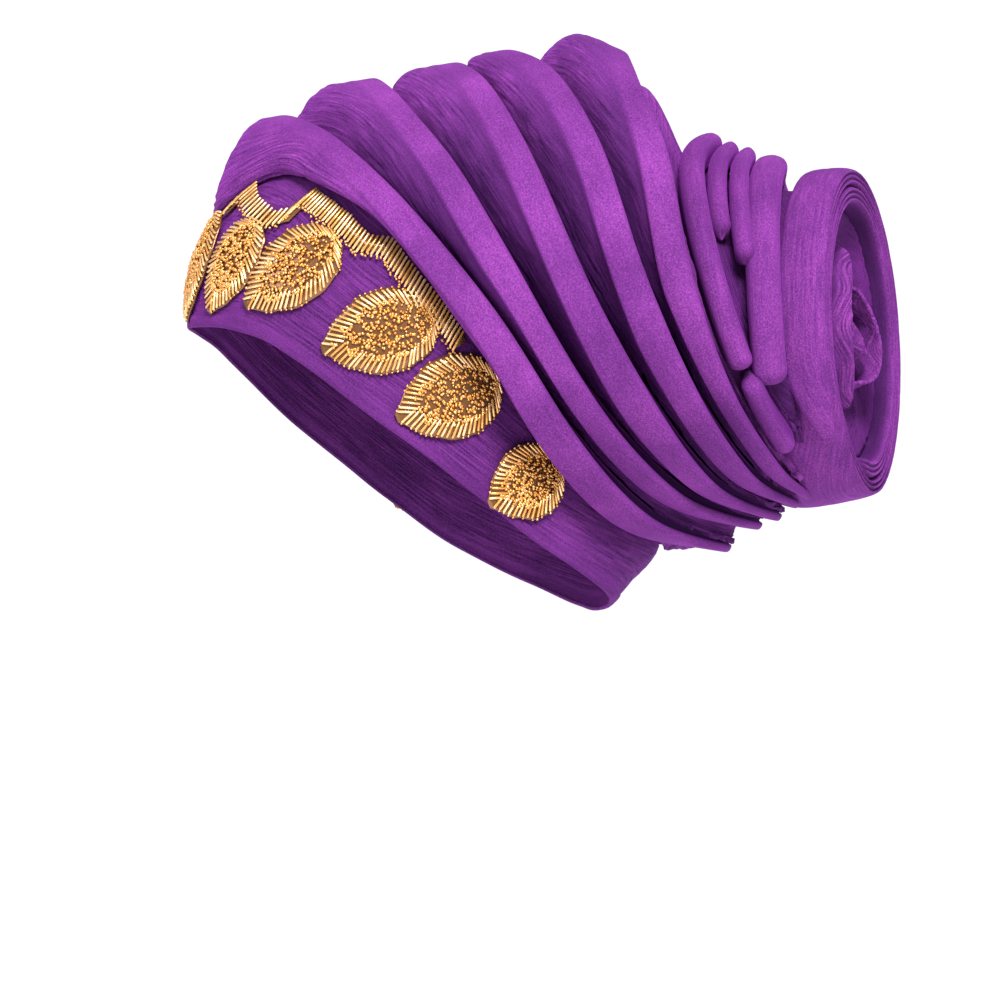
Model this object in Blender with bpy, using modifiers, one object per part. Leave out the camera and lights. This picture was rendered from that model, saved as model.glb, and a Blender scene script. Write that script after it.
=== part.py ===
"""A tied gele head tie: a cap of crinkled purple cloth, five fanned tiers swept over it,
a coiled rosette at the back and gold bead leaves on the band.

Metres, +Z up. The wearer faces -Y and the wearer's left is +X. The origin is where the
crown of the head bears on the inside of the cap.
"""
import math

import bmesh
import bpy
from mathutils import Matrix, Vector

# Cloth and clearances
CLOTH = 0.002
GAP = 0.0004
TIER_GAP = 0.0008
SEAT = 0.0013
BROW_SEAT = 0.0012

# The cap round the head, inside sizes
HEAD_WIDTH = 0.154
HEAD_LENGTH = 0.186
CROWN_HEIGHT = 0.0875
HEAD_BACK_SHIFT = 0.006
CAP_ROUNDNESS = 2.5
BROW_DROP = 0.079
NAPE_DROP = 0.197
NAPE_FULLNESS = 0.008
NAPE_TUCK = 0.027
NAPE_TUCK_START = 0.75
HEM_DEPTH = 0.005
HEM_ROLL = 0.0009
CAP_COLUMNS = 32
CAP_ROWS = 8

# The hem's drop round the head, from the brow's to the nape's
HEM_LINE = (
    # degrees from the front, share of the way down
    (0, 0.000),
    (28, 0.010),
    (46, 0.090),
    (58, 0.230),
    (72, 0.365),
    (84, 0.485),
    (102, 0.690),
    (122, 0.860),
    (150, 0.970),
    (180, 1.000),
)

# The fan: five tiers, turned with the rosette toward the wearer's left
FAN_TURN = math.radians(15)
FAN_LENGTH = 0.200
FAN_HEIGHT = 0.200
FAN_HALF_WIDTH = 0.110
VALLEY = 0.026
STRIP = 0.013
LIP = 0.0025
LIP_ROUND = 0.6
WALL_BEND = 0.42
LEAST_WALL_BEND = 1.5
UNDERCUT = 0.004
FOOT_TUCK = 0.003
CREST = 0.0015
VALLEY_OPENING = math.radians(28)
LEAST_VALLEY = 0.004
VALLEY_STEP = 0.0005
FOOT_ROOM = 0.003
RING_STATIONS = 30

# Every ring of the fan runs from its top round the side to its bottom
RINGS = {
    # name: top and bottom height, half width, valley depth at top, side and bottom,
    # backward lean in degrees, sweep of the far side, then how far back at seven even steps
    "tier_1": (0.048, -0.858, 0.96, (0.40, 0.80, 0.30), 5, 0.0,
               (-0.292, -0.180, -0.016, 0.158, 0.300, 0.455, 0.630)),
    "tier_2": (0.125, -0.786, 1.00, (0.78, 0.95, 0.30), 5, 0.0,
               (-0.105, -0.045, 0.080, 0.210, 0.350, 0.515, 0.695)),
    "tier_3": (0.158, -0.779, 0.99, (0.98, 0.95, 0.30), 5, 0.0,
               (0.065, 0.130, 0.220, 0.320, 0.450, 0.585, 0.735)),
    "tier_4": (0.184, -0.768, 0.95, (1.20, 0.95, 0.30), 5, 0.0,
               (0.170, 0.265, 0.355, 0.430, 0.535, 0.655, 0.772)),
    "tier_5": (0.173, -0.752, 0.87, (1.20, 0.80, 0.28), 38, 0.0,
               (0.415, 0.430, 0.485, 0.525, 0.605, 0.715, 0.800)),
    "pleat_a": (0.006, -0.720, 0.77, (0.45, 0.45, 0.30), 5, 0.15,
                (0.610, 0.565, 0.570, 0.612, 0.680, 0.762, 0.812)),
    "pleat_b_1": (-0.010, -0.700, 0.73, (0.32, 0.32, 0.30), 5, 0.20,
                  (0.645, 0.605, 0.602, 0.650, 0.700, 0.745, 0.780)),
    "pleat_b_2": (-0.022, -0.700, 0.73, (0.32, 0.32, 0.30), 5, 0.28,
                  (0.675, 0.643, 0.637, 0.667, 0.705, 0.745, 0.780)),
    "pleat_c": (-0.042, -0.735, 0.71, (0.45, 0.45, 0.30), 5, 0.38,
                (0.745, 0.724, 0.710, 0.713, 0.733, 0.773, 0.820)),
}

# Tier 1 starts on the cap, along this line round it
BROW_LINE = (
    # degrees round the ring, degrees round the head, height as a share of the fan's
    (0, 0, -0.140),
    (30, 43, -0.075),
    (60, 86, -0.200),
    (90, 105.5, -0.408),
    (120, 123, -0.625),
    (150, 147, -0.780),
    (180, 180, -0.850),
)
BROW_FAR_LEAD = 9
FRONT_DROOP = 1.15

# Shapes of a tier's fold at seven even steps round its ring
STRIP_WIDTHS = (0.85, 0.90, 1.00, 1.00, 1.15, 0.95, 0.36)
STRIP_SHARE = 0.74
FACE_RISE = (0.60, 0.56, 0.42, 0.30, 0.28, 0.30, 0.32)
FACE_REACH = (0.50, 0.48, 0.42, 0.42, 0.40, 0.30, 0.20)
FACE_TURN = (0, 8, 34, 60, 62, 40, 0)
FACE_STEPS = (0.22, 0.45, 0.72)

# How far the gathered cloth behind tier 5 stands up, at top, side and bottom
GATHER_SWELL = (0.55, 0.30, 0.08)
GATHER_WALL = 0.0018

# Pleats of the rosette that stand by themselves: width, wall, and where they start and end
PLEATS = {
    # name: ring, width, wall, first and last degree
    "pleat_a": ("pleat_a", 0.0095, 0.0018, -99, 99),
    "pleat_b_1": ("pleat_b_1", 0.0050, 0.0011, -62, 62),
    "pleat_b_2": ("pleat_b_2", 0.0050, 0.0011, -70, 70),
    "pleat_c": ("pleat_c", 0.0125, 0.0018, -99, 99),
    "pleat_d_left": ("pleat_a", 0.0082, 0.0018, 114, 140),
    "pleat_d_right": ("pleat_a", 0.0082, 0.0018, -140, -114),
}
SEAT_NARROWS = {"pleat_a": 142, "pleat_c": 109}
NARROWING_DEGREES = 20
LEAST_SEAT = 0.15
PLEAT_STEP = 15
LEAST_PLEAT_STEPS = 4
PLEAT_SHOULDER = 1.4
PLEAT_BROW = 0.2
PLEAT_CREST = 0.45
PLEAT_HEEL = 0.0005
PLEAT_SEAT = 0.00104

# The rosette's wound band, its outer end first
COIL_RADIUS = 0.069
COIL_WIDTH = 0.016
COIL_LAYER = 0.0072
COIL_BACK = 0.173
COIL_DROP = 0.081
COIL_TURN = math.radians(17.5)
COIL_TILT = math.radians(3)
COIL_START = 131
COIL_SWEEP = 675
COIL_STEP_IN = (290, 360)
COIL_STATION_DEGREES = 17
COIL_SECTION = (
    # share of the half width, share of the half layer
    (-1.00, 0.50),
    (-0.80, 0.95),
    (0.80, 0.95),
    (1.00, 0.60),
    (0.90, 0.28),
    (1.00, 0.00),
    (0.90, -0.30),
    (1.00, -0.60),
    (0.80, -0.95),
    (-0.90, -0.95),
)

# Where the gathered cloth meets the coil: distance from its axis and place along it
COIL_MOUTH = (
    (0.0600, -0.0118),
    (0.0530, -0.0094),
)

# The crumpled cloth that closes the rosette, in shares of its radius
CORE_RINGS = (0.994, 0.76, 0.50, 0.22)
CORE_COLUMNS = 25
CORE_FOLDS = 7
CORE_RUFFLE = 0.0028
CORE_RECESS = 0.001
CORE_DISH = 0.009
CORE_TWIST = 2.2

# Flaps in the rosette's middle
CORE_FLAPS = {
    # name: distance from the axis, first and last degree, height, ruffles, seat
    "core_flap_1": (0.74, 15, 150, 0.010, 5, 0.0016),
    "core_flap_2": (0.50, 170, 330, 0.013, 4, 0.0017),
    "core_flap_3": (0.26, 40, 250, 0.012, 3, 0.0022),
}
FLAP_WALL = 0.0016
FLAP_LEAST = 0.45
FLAP_FULLNESS = 0.6
FLAP_HEIGHTS = (0.0, 0.35, 0.7, 1.0)
FLAP_LEAN = 0.35
FLAP_RUFFLE = 0.0022
FLAP_STEPS = 10

# Bead leaves on the band
LEAF_WIDTH = 0.028
BEADWORK = 0.0022
LEAF_ROWS = (
    # share of the length from the base, share of the half width
    (0.00, 0.30),
    (0.13, 0.78),
    (0.34, 1.00),
    (0.57, 0.96),
    (0.79, 0.64),
    (1.00, 0.10),
)
LEAVES = (
    # name, base and tip as degrees from the front and share of the fan's height, width, seat
    ("leaf_front", 1, -0.185, -2, -0.375, 0.88, 0.0013),
    ("leaf_left_1", 27, -0.205, 16, -0.360, 0.86, 0.0007),
    ("leaf_left_2", 54, -0.235, 31.6, -0.350, 0.95, 0.0007),
    ("leaf_left_3", 79.5, -0.385, 54.8, -0.440, 1.00, 0.0005),
    ("leaf_left_4", 95, -0.512, 73.5, -0.578, 1.00, 0.0005),
    ("leaf_left_5", 111.5, -0.684, 96, -0.750, 0.90, 0.0013),
)
STEM_WIDTH = 0.0070
STEM_SEAT = 0.0007
RIGHT_STEM_START = 3
STEM_LINE = (
    # degrees from the front, height as a share of the fan's
    (7, -0.160),
    (13, -0.120),
    (24, -0.158),
    (34, -0.186),
    (40, -0.180),
    (45, -0.142),
    (53, -0.172),
    (59, -0.200),
    (64.5, -0.238),
    (71, -0.246),
    (77.5, -0.314),
    (81.5, -0.352),
    (85, -0.390),
    (89, -0.440),
)


def smooth(values, degrees):
    """A smooth curve through values at even steps from 0 to 180 degrees, level at both ends."""
    steps = len(values) - 1
    place = min(abs(degrees), 180) / 180 * steps
    i = min(int(place), steps - 1)
    u = place - i
    around = [values[abs(j) if j <= steps else 2 * steps - j] for j in (i - 1, i, i + 1, i + 2)]
    a, b, c, d = around
    return b + u * ((c - a) + u * ((2 * a - 5 * b + 4 * c - d) + u * (3 * (b - c) + d - a))) / 2


def between(rows, at):
    """The values of the last columns of rows, read between the first column's steps."""
    for low, high in zip(rows, rows[1:]):
        if at <= high[0]:
            break
    u = (at - low[0]) / (high[0] - low[0])
    u = u * u * (3 - 2 * u) * 0.5 + u * 0.5
    return [p + (q - p) * u for p, q in zip(low[1:], high[1:])]


def material(name, colour, roughness, metallic=0.0):
    made = bpy.data.materials.new(name)
    made.use_nodes = True
    shader = made.node_tree.nodes["Principled BSDF"]
    shader.inputs["Base Color"].default_value = (*colour, 1.0)
    shader.inputs["Roughness"].default_value = roughness
    shader.inputs["Metallic"].default_value = metallic
    return made


def grid_mesh(name, rows, closed_across=False, closed_along=False, pole=None, caps=False):
    """A surface through rows of points."""
    work = bmesh.new()
    verts = [[work.verts.new(p) for p in row] for row in rows]
    across = len(rows[0])
    for i in range(len(rows) - (not closed_along)):
        here, there = verts[i], verts[(i + 1) % len(rows)]
        for j in range(across - (not closed_across)):
            k = (j + 1) % across
            work.faces.new((here[j], here[k], there[k], there[j]))
    if pole is not None:
        top = work.verts.new(pole)
        for j in range(across):
            work.faces.new((verts[-1][j], verts[-1][(j + 1) % across], top))
    if caps:
        work.faces.new(reversed(verts[0]))
        work.faces.new(verts[-1])
    mesh = bpy.data.meshes.new(name)
    work.to_mesh(mesh)
    work.free()
    mesh.shade_smooth()
    return mesh


def add_part(name, mesh, finish, thickness=0.0):
    part = bpy.data.objects.new(name, mesh)
    mesh.materials.append(finish)
    bpy.data.collections["tied_gele"].objects.link(part)
    if thickness:
        shell = part.modifiers.new("Cloth", "SOLIDIFY")
        shell.thickness = thickness
        shell.offset = -1
    return part


def turned(point):
    """A point of the fan, turned toward the wearer's left."""
    return Matrix.Rotation(-FAN_TURN, 3, "Z") @ point


def cap_share(z):
    """How wide the cap is at a height, as a share of its widest."""
    widest = -CROWN_HEIGHT
    if z >= widest:
        rise = min(1.0, (z - widest) / CROWN_HEIGHT)
        return (1 - rise**CAP_ROUNDNESS) ** (1 / CAP_ROUNDNESS)
    return 1.0


def cap_point(degrees, z, out=0.0):
    """A point on the cap's outside, so far round the head from the front toward the left."""
    angle = math.radians(degrees)
    half_width = HEAD_WIDTH / 2 + CLOTH + out
    half_length = HEAD_LENGTH / 2 + CLOTH + out
    share = cap_share((z - CLOTH) if z > 0 else z)
    behind = max(0.0, -math.cos(angle)) ** 2
    low = max(0.0, (-CROWN_HEIGHT - z) / (NAPE_DROP - CROWN_HEIGHT))
    full = math.sin(math.pi / 2 * min(1.0, low / NAPE_TUCK_START)) ** 2
    tuck = max(0.0, (low - NAPE_TUCK_START) / (1 - NAPE_TUCK_START))
    share += behind * (NAPE_FULLNESS * full - NAPE_TUCK * tuck**1.3) / half_length
    return Vector((
        half_width * share * math.sin(angle),
        HEAD_BACK_SHIFT * -1 - half_length * share * math.cos(angle),
        z,
    ))


def cap_normal(degrees, z):
    step = 0.5
    along = cap_point(degrees + step, z) - cap_point(degrees - step, z)
    up = cap_point(degrees, z + 0.001) - cap_point(degrees, z - 0.001)
    return along.cross(up).normalized()


def on_cap(degrees, z, out):
    return cap_point(degrees, z) + cap_normal(degrees, z) * out


def hem_height(degrees):
    turn = abs((degrees + 180) % 360 - 180)
    (down,) = between(HEM_LINE, turn)
    return -BROW_DROP - (NAPE_DROP - BROW_DROP) * down


def build_cap(cloth):
    """The cap: a rolled hem, a band and a closed crown."""
    rows = []
    top = CLOTH
    for i in range(CAP_ROWS + 2):
        row = []
        for column in range(CAP_COLUMNS):
            degrees = 360 * column / CAP_COLUMNS
            hem = hem_height(degrees)
            if i == 0:
                point = on_cap(degrees, hem, HEM_ROLL)
            elif i == 1:
                point = on_cap(degrees, hem + HEM_DEPTH, HEM_ROLL)
            else:
                start = hem + HEM_DEPTH * 1.35
                rise = math.sin(math.pi / 2 * (i - 2) / CAP_ROWS)
                z = start + (top - start) * rise
                point = cap_point(degrees, min(z, top - 0.0002))
            row.append(point)
        rows.append(row)
    pole = Vector((0.0, -HEAD_BACK_SHIFT, top))
    mesh = grid_mesh("under_cap", rows, closed_across=True, pole=pole)
    return add_part("under_cap", mesh, cloth, CLOTH)


def ring_point(ring, degrees):
    """A point of a ring's rear edge, in the fan's own directions."""
    top, bottom, width, _, _, far_sweep, back = RINGS[ring]
    turn = math.radians(degrees)
    middle = (top + bottom) / 2 * FAN_HEIGHT
    half = (top - bottom) / 2 * FAN_HEIGHT
    side = width * FAN_HALF_WIDTH * math.sin(turn)
    far = min(0.0, math.sin(turn)) ** 2
    return Vector((
        side,
        smooth(back, degrees) * FAN_LENGTH + far_sweep * width * FAN_HALF_WIDTH * far,
        middle + half * math.cos(turn),
    ))


def ring_frame(ring, degrees):
    """A ring's edge point, the way out from the fan there and the way back across it."""
    step = 1.0
    here = ring_point(ring, degrees)
    along = (ring_point(ring, degrees + step) - ring_point(ring, degrees - step)).normalized()
    turn = math.radians(degrees)
    out = Vector((math.sin(turn), 0.0, math.cos(turn)))
    out = (out - along * out.dot(along)).normalized()
    rear = out.cross(along).normalized()
    if rear.y < 0:
        rear = -rear
    lean = math.radians(RINGS[ring][4]) * max(0.0, math.cos(turn)) ** 2
    out, rear = (
        out * math.cos(lean) + rear * math.sin(lean),
        rear * math.cos(lean) - out * math.sin(lean),
    )
    return here, out, rear


def over_cap(point):
    """How far a point is outside the cap, nearly."""
    half_width = HEAD_WIDTH / 2 + CLOTH
    half_length = HEAD_LENGTH / 2 + CLOTH
    flat = math.hypot(point.x / half_width, (point.y + HEAD_BACK_SHIFT) / half_length)
    rise = max(0.0, (point.z + CROWN_HEIGHT) / (CROWN_HEIGHT + CLOTH))
    share = (flat**CAP_ROUNDNESS + rise**CAP_ROUNDNESS) ** (1 / CAP_ROUNDNESS)
    return (share - 1) * half_width


def valley_depth(ring, degrees):
    """How deep the valley behind a ring is, with its foot kept clear of the cap."""
    top, side, bottom = RINGS[ring][3]
    depth = VALLEY * smooth((top, side, bottom), degrees)
    here, out, _ = ring_frame(ring, degrees)
    while depth > LEAST_VALLEY and over_cap(turned(here - out * depth)) < FOOT_ROOM:
        depth -= VALLEY_STEP
    return depth


def bend(start, way_out, end, way_in, reach):
    """A rounded front face from start to end, as inner points of a curve with two handles."""
    far = (end - start).length
    first = start + way_out * far * reach[0]
    last = end - way_in * far * reach[1]
    points = []
    for u in FACE_STEPS:
        v = 1 - u
        points.append(start * v**3 + first * 3 * v * v * u + last * 3 * v * u * u + end * u**3)
    return points


def rolled_edge(here, out, rear, strip, depth):
    """The wide strip, its rounded lip and the wall that goes down behind it."""
    full = min(1.0, depth / STRIP)
    return [
        here - rear * strip - out * CREST,
        here - rear * LIP * LIP_ROUND,
        here - out * LIP,
        here - rear * UNDERCUT * full - out * max(LIP * LEAST_WALL_BEND, depth * WALL_BEND),
        here - rear * FOOT_TUCK * full - out * depth,
    ]


def brow_start(degrees):
    """Where tier 1 leaves the cap, and its way out."""
    side = 1 if degrees >= 0 else -1
    round_head, height = between_smooth(BROW_LINE, abs(degrees))
    z = height * FAN_HEIGHT
    lead = BROW_FAR_LEAD * min(0.0, math.sin(math.radians(degrees))) ** 2
    at = side * (round_head - lead) - math.degrees(FAN_TURN)
    droop = FRONT_DROOP * max(0.0, math.cos(math.radians(degrees))) ** 3
    untwist = Matrix.Rotation(FAN_TURN, 3, "Z")
    normal = untwist @ cap_normal(at, z)
    way = (normal + Vector((0, 0, -1)) * droop).normalized()
    seat = BROW_SEAT * (1 + max(0.0, -math.cos(math.radians(degrees))) ** 2)
    return untwist @ on_cap(at, z, seat), way


def valley_seat(before, degrees):
    """Where the cloth behind a ring starts in its valley, and its way out."""
    here, out, rear = ring_frame(before, degrees)
    depth = valley_depth(before, degrees)
    tuck = FOOT_TUCK * min(1.0, depth / STRIP)
    start = here - rear * (tuck - TIER_GAP) - out * depth
    return start, out * math.cos(VALLEY_OPENING) + rear * math.sin(VALLEY_OPENING)


def between_smooth(rows, degrees):
    """Smooth reading of rows at even steps from 0 to 180 degrees."""
    read = [smooth([row[1] for row in rows], degrees), smooth([row[2] for row in rows], degrees)]
    return read


def tier_section(ring, before, degrees):
    """One section of a tier, from its foot behind the tier before to its own rear foot."""
    here, out, rear = ring_frame(ring, degrees)
    strip = STRIP * smooth(STRIP_WIDTHS, degrees)
    if before is None:
        start, way_out = brow_start(degrees)
    else:
        start, way_out = valley_seat(before, degrees)
        strip = min(strip, STRIP_SHARE * (here - ring_point(before, degrees)).dot(rear))
    edge = rolled_edge(here, out, rear, strip, valley_depth(ring, degrees))
    reach = (smooth(FACE_RISE, degrees), smooth(FACE_REACH, degrees))
    turn = math.radians(smooth(FACE_TURN, degrees))
    way_in = rear * math.cos(turn) + out * math.sin(turn)
    return [start, *bend(start, way_out, edge[0], way_in, reach), *edge]


def build_tier(name, before, cloth):
    rows = []
    for station in range(RING_STATIONS):
        degrees = 180 - 360 * station / RING_STATIONS
        rows.append([turned(p) for p in tier_section(name, before, degrees)])
    mesh = grid_mesh(name, rows, closed_along=True)
    return add_part(name, mesh, cloth, CLOTH)


def pleat_section(ring, width, degrees):
    """One section of a pleat that stands by itself on the cloth behind the fan."""
    here, out, rear = ring_frame(ring, degrees)
    depth = valley_depth(ring, degrees)
    front = here - rear * width
    lift = CREST * min(1.0, width / STRIP)
    return [
        front - out * depth,
        front - out * LIP * PLEAT_SHOULDER,
        front + rear * LIP * LIP_ROUND - out * LIP * PLEAT_BROW,
        here - rear * width * PLEAT_CREST + out * lift,
        here - rear * LIP * LIP_ROUND,
        here - out * LIP,
        here - rear * PLEAT_HEEL - out * depth,
    ]


def build_pleat(name, cloth):
    ring, width, wall, first, last = PLEATS[name]
    steps = max(LEAST_PLEAT_STEPS, round((last - first) / PLEAT_STEP))
    rows = []
    for i in range(steps + 1):
        degrees = last + (first - last) * i / steps
        rows.append([turned(p) for p in pleat_section(ring, width, degrees)])
    mesh = grid_mesh(name, rows)
    return add_part(name, mesh, cloth, wall)


def build_back_gather(cloth):
    """The cloth behind tier 5 that carries the pleats and runs into the rosette."""
    rows = []
    for station in range(RING_STATIONS):
        degrees = 180 - 360 * station / RING_STATIONS
        start, way = valley_seat("tier_5", degrees)
        seats = [*seats_below("pleat_a", degrees), *seats_below("pleat_c", degrees)]
        reach = (seats[0] - start).length
        swell = start + way * reach * smooth(GATHER_SWELL, degrees)
        mouth = [coil_point(degrees, radius, back) for radius, back in COIL_MOUTH]
        rows.append([turned(p) for p in (start, swell, *seats, *mouth)])
    mesh = grid_mesh("back_gather", rows, closed_along=True)
    return add_part("back_gather", mesh, cloth, GATHER_WALL)


def seats_below(pleat, degrees):
    """The places under a pleat's front and rear feet."""
    ring, width, _, _, _ = PLEATS[pleat]
    past = max(0.0, abs(degrees) - SEAT_NARROWS[pleat]) / NARROWING_DEGREES
    width *= max(LEAST_SEAT, 1 - past)
    here, out, rear = ring_frame(ring, degrees)
    under = here - out * (valley_depth(ring, degrees) + PLEAT_SEAT)
    return under - rear * (width + TIER_GAP), under + rear * GAP


def coil_point(degrees, radius, back):
    """A point of the rosette, so far from its axis and so far back along it."""
    turn = math.radians(degrees)
    local = Vector((radius * math.sin(turn), back, radius * math.cos(turn)))
    place = Matrix.Rotation(-COIL_TURN, 3, "Z") @ Matrix.Rotation(COIL_TILT, 3, "X")
    return place @ local + Vector((0.0, COIL_BACK, -COIL_DROP))


def coil_centre(along):
    """How far the band's middle is from the axis, so many degrees from its outer end."""
    first, last = COIL_STEP_IN
    inner = COIL_RADIUS - COIL_LAYER / 2
    for start in (first, first + 360):
        u = min(1.0, max(0.0, (along - start) / (last - first)))
        inner -= (COIL_LAYER + GAP) * u * u * (3 - 2 * u)
    return inner


def build_coil(cloth):
    rows = []
    stations = round(COIL_SWEEP / COIL_STATION_DEGREES)
    for i in range(stations + 1):
        along = COIL_SWEEP * i / stations
        centre = coil_centre(along)
        row = []
        for wide, thick in COIL_SECTION:
            radius = centre + thick * COIL_LAYER / 2
            row.append(turned(coil_point(COIL_START - along, radius, wide * COIL_WIDTH / 2)))
        rows.append(row)
    mesh = grid_mesh("rosette_coil", rows, closed_across=True, caps=True)
    return add_part("rosette_coil", mesh, cloth)


def core_radius():
    return coil_centre(COIL_SWEEP) - COIL_LAYER / 2 - GAP


def core_height(share, degrees):
    """How far back the middle's cloth lies, so far from the axis."""
    turn = math.radians(degrees)
    ruffle = math.cos(CORE_FOLDS * turn + CORE_TWIST * share * math.pi)
    ruffle += 0.5 * math.cos((CORE_FOLDS - 4) * turn - CORE_TWIST * share)
    return CORE_RECESS - CORE_DISH * (1 - share**2) + CORE_RUFFLE * ruffle * math.sin(math.pi * share)


def build_core(cloth):
    rows = []
    for share in CORE_RINGS:
        row = []
        for column in range(CORE_COLUMNS):
            degrees = 360 * column / CORE_COLUMNS
            back = core_height(share, degrees)
            row.append(turned(coil_point(degrees, share * core_radius(), back)))
        rows.append(row)
    pole = turned(coil_point(0.0, 0.0, core_height(0.0, 0.0)))
    mesh = grid_mesh("rosette_core", rows, closed_across=True, pole=pole)
    return add_part("rosette_core", mesh, cloth, CLOTH)


def build_flap(name, cloth):
    share, first, last, height, ruffles, seat = CORE_FLAPS[name]
    rows = []
    for i in range(FLAP_STEPS + 1):
        u = i / FLAP_STEPS
        degrees = last + (first - last) * u
        foot = core_height(share, degrees) + seat
        rise = height * (FLAP_LEAST + (1 - FLAP_LEAST) * math.sin(math.pi * u) ** FLAP_FULLNESS)
        row = []
        for up in FLAP_HEIGHTS:
            wave = FLAP_RUFFLE * math.sin(ruffles * 2 * math.pi * u) * up
            radius = share * core_radius() - wave - up * rise * FLAP_LEAN
            row.append(turned(coil_point(degrees, radius, foot + rise * up)))
        rows.append(row)
    mesh = grid_mesh(name, rows)
    return add_part(name, mesh, cloth, FLAP_WALL)


def cap_step(degrees, z):
    """Metres of cloth for a degree round the cap, and for a metre of height."""
    round_head = cap_point(degrees + 0.5, z) - cap_point(degrees - 0.5, z)
    upward = cap_point(degrees, z + 0.0005) - cap_point(degrees, z - 0.0005)
    return round_head.length, upward.length / 0.001


def beyond(degrees, z, along, across, out):
    """A point on the cap, moved over its cloth by a distance across a direction."""
    round_step, up_step = cap_step(degrees, z)
    way = Vector((along[0] * round_step, along[1] * up_step)).normalized()
    moved = Vector((-way.y, way.x)) * across
    return on_cap(degrees + moved.x / round_step, z + moved.y / up_step, out)


def build_leaf(name, base, tip, width, seat, side, beads):
    along = (tip[0] - base[0], tip[1] - base[1])
    rows = []
    for far, wide in LEAF_ROWS:
        degrees = base[0] + along[0] * far
        z = base[1] + along[1] * far
        half = LEAF_WIDTH / 2 * width * wide
        row = [beyond(degrees, z, along, half * j, seat + BEADWORK) for j in (-1, 0, 1)]
        rows.append([Vector((side * p.x, p.y, p.z)) for p in row])
    if side > 0:
        rows.reverse()
    return add_part(name, grid_mesh(name, rows), beads, BEADWORK)


def build_stem(name, side, beads):
    rows = []
    line = [(degrees, height * FAN_HEIGHT) for degrees, height in STEM_LINE]
    if side < 0:
        line = line[RIGHT_STEM_START:]
    for i, (degrees, z) in enumerate(line):
        before = line[max(0, i - 1)]
        after = line[min(len(line) - 1, i + 1)]
        along = (after[0] - before[0], after[1] - before[1])
        row = [beyond(degrees, z, along, STEM_WIDTH / 2 * j, STEM_SEAT + BEADWORK) for j in (-1, 1)]
        rows.append([Vector((side * p.x, p.y, p.z)) for p in row])
    if side > 0:
        rows.reverse()
    return add_part(name, grid_mesh(name, rows), beads, BEADWORK)


def build_beadwork(beads):
    for name, base_at, base_up, tip_at, tip_up, width, seat in LEAVES:
        base = (base_at, base_up * FAN_HEIGHT)
        tip = (tip_at, tip_up * FAN_HEIGHT)
        build_leaf(name, base, tip, width, seat, 1, beads)
        if "left" in name:
            build_leaf(name.replace("left", "right"), base, tip, width, seat, -1, beads)
    build_stem("stem_left", 1, beads)
    build_stem("stem_right", -1, beads)


def main():
    for old in list(bpy.data.objects):
        bpy.data.objects.remove(old)
    group = bpy.data.collections.new("tied_gele")
    bpy.context.scene.collection.children.link(group)
    cloth = material("purple_gele_cloth", (0.26, 0.045, 0.36), 0.72)
    beads = material("gold_beads", (0.78, 0.48, 0.16), 0.28, 0.9)
    build_cap(cloth)
    before = None
    for name in ("tier_1", "tier_2", "tier_3", "tier_4", "tier_5"):
        build_tier(name, before, cloth)
        before = name
    build_back_gather(cloth)
    for name in PLEATS:
        build_pleat(name, cloth)
    build_coil(cloth)
    build_core(cloth)
    for name in CORE_FLAPS:
        build_flap(name, cloth)
    build_beadwork(beads)


main()
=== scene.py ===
"""The looks of a tied gele head tie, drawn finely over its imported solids.

Metres, +Z up. The wearer faces -Y and the wearer's left is +X.
"""
import math

import bpy
import numpy as np
from mathutils import Matrix, Vector


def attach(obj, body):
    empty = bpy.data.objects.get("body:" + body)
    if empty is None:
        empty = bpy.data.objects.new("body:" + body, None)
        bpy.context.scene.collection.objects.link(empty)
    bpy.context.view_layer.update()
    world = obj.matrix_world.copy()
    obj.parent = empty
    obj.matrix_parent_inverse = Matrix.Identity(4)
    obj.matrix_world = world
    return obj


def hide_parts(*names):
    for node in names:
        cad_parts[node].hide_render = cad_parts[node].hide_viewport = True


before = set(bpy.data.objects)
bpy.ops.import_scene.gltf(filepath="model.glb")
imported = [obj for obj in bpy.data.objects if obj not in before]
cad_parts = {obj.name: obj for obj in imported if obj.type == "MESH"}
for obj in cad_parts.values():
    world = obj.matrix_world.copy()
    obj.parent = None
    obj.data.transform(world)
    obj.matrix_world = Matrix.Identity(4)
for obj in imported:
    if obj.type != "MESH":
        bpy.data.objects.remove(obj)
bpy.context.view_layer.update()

# Cloth and clearances
CLOTH = 0.002
GAP = 0.0004
TIER_GAP = 0.0008
BROW_SEAT = 0.0012

# The cap round the head, inside sizes
HEAD_WIDTH = 0.154
HEAD_LENGTH = 0.186
CROWN_HEIGHT = 0.0875
HEAD_BACK_SHIFT = 0.006
CAP_ROUNDNESS = 2.5
BROW_DROP = 0.079
NAPE_DROP = 0.197
NAPE_FULLNESS = 0.008
NAPE_TUCK = 0.027
NAPE_TUCK_START = 0.75
NAPE_TUCK_POWER = 1.3
HEM_DEPTH = 0.005
HEM_ROLL = 0.0009

# The hem's drop round the head, from the brow's to the nape's
HEM_LINE = (
    # degrees from the front, share of the way down
    (0, 0.000),
    (28, 0.010),
    (46, 0.090),
    (58, 0.230),
    (72, 0.365),
    (84, 0.485),
    (102, 0.690),
    (122, 0.860),
    (150, 0.970),
    (180, 1.000),
)

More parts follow.
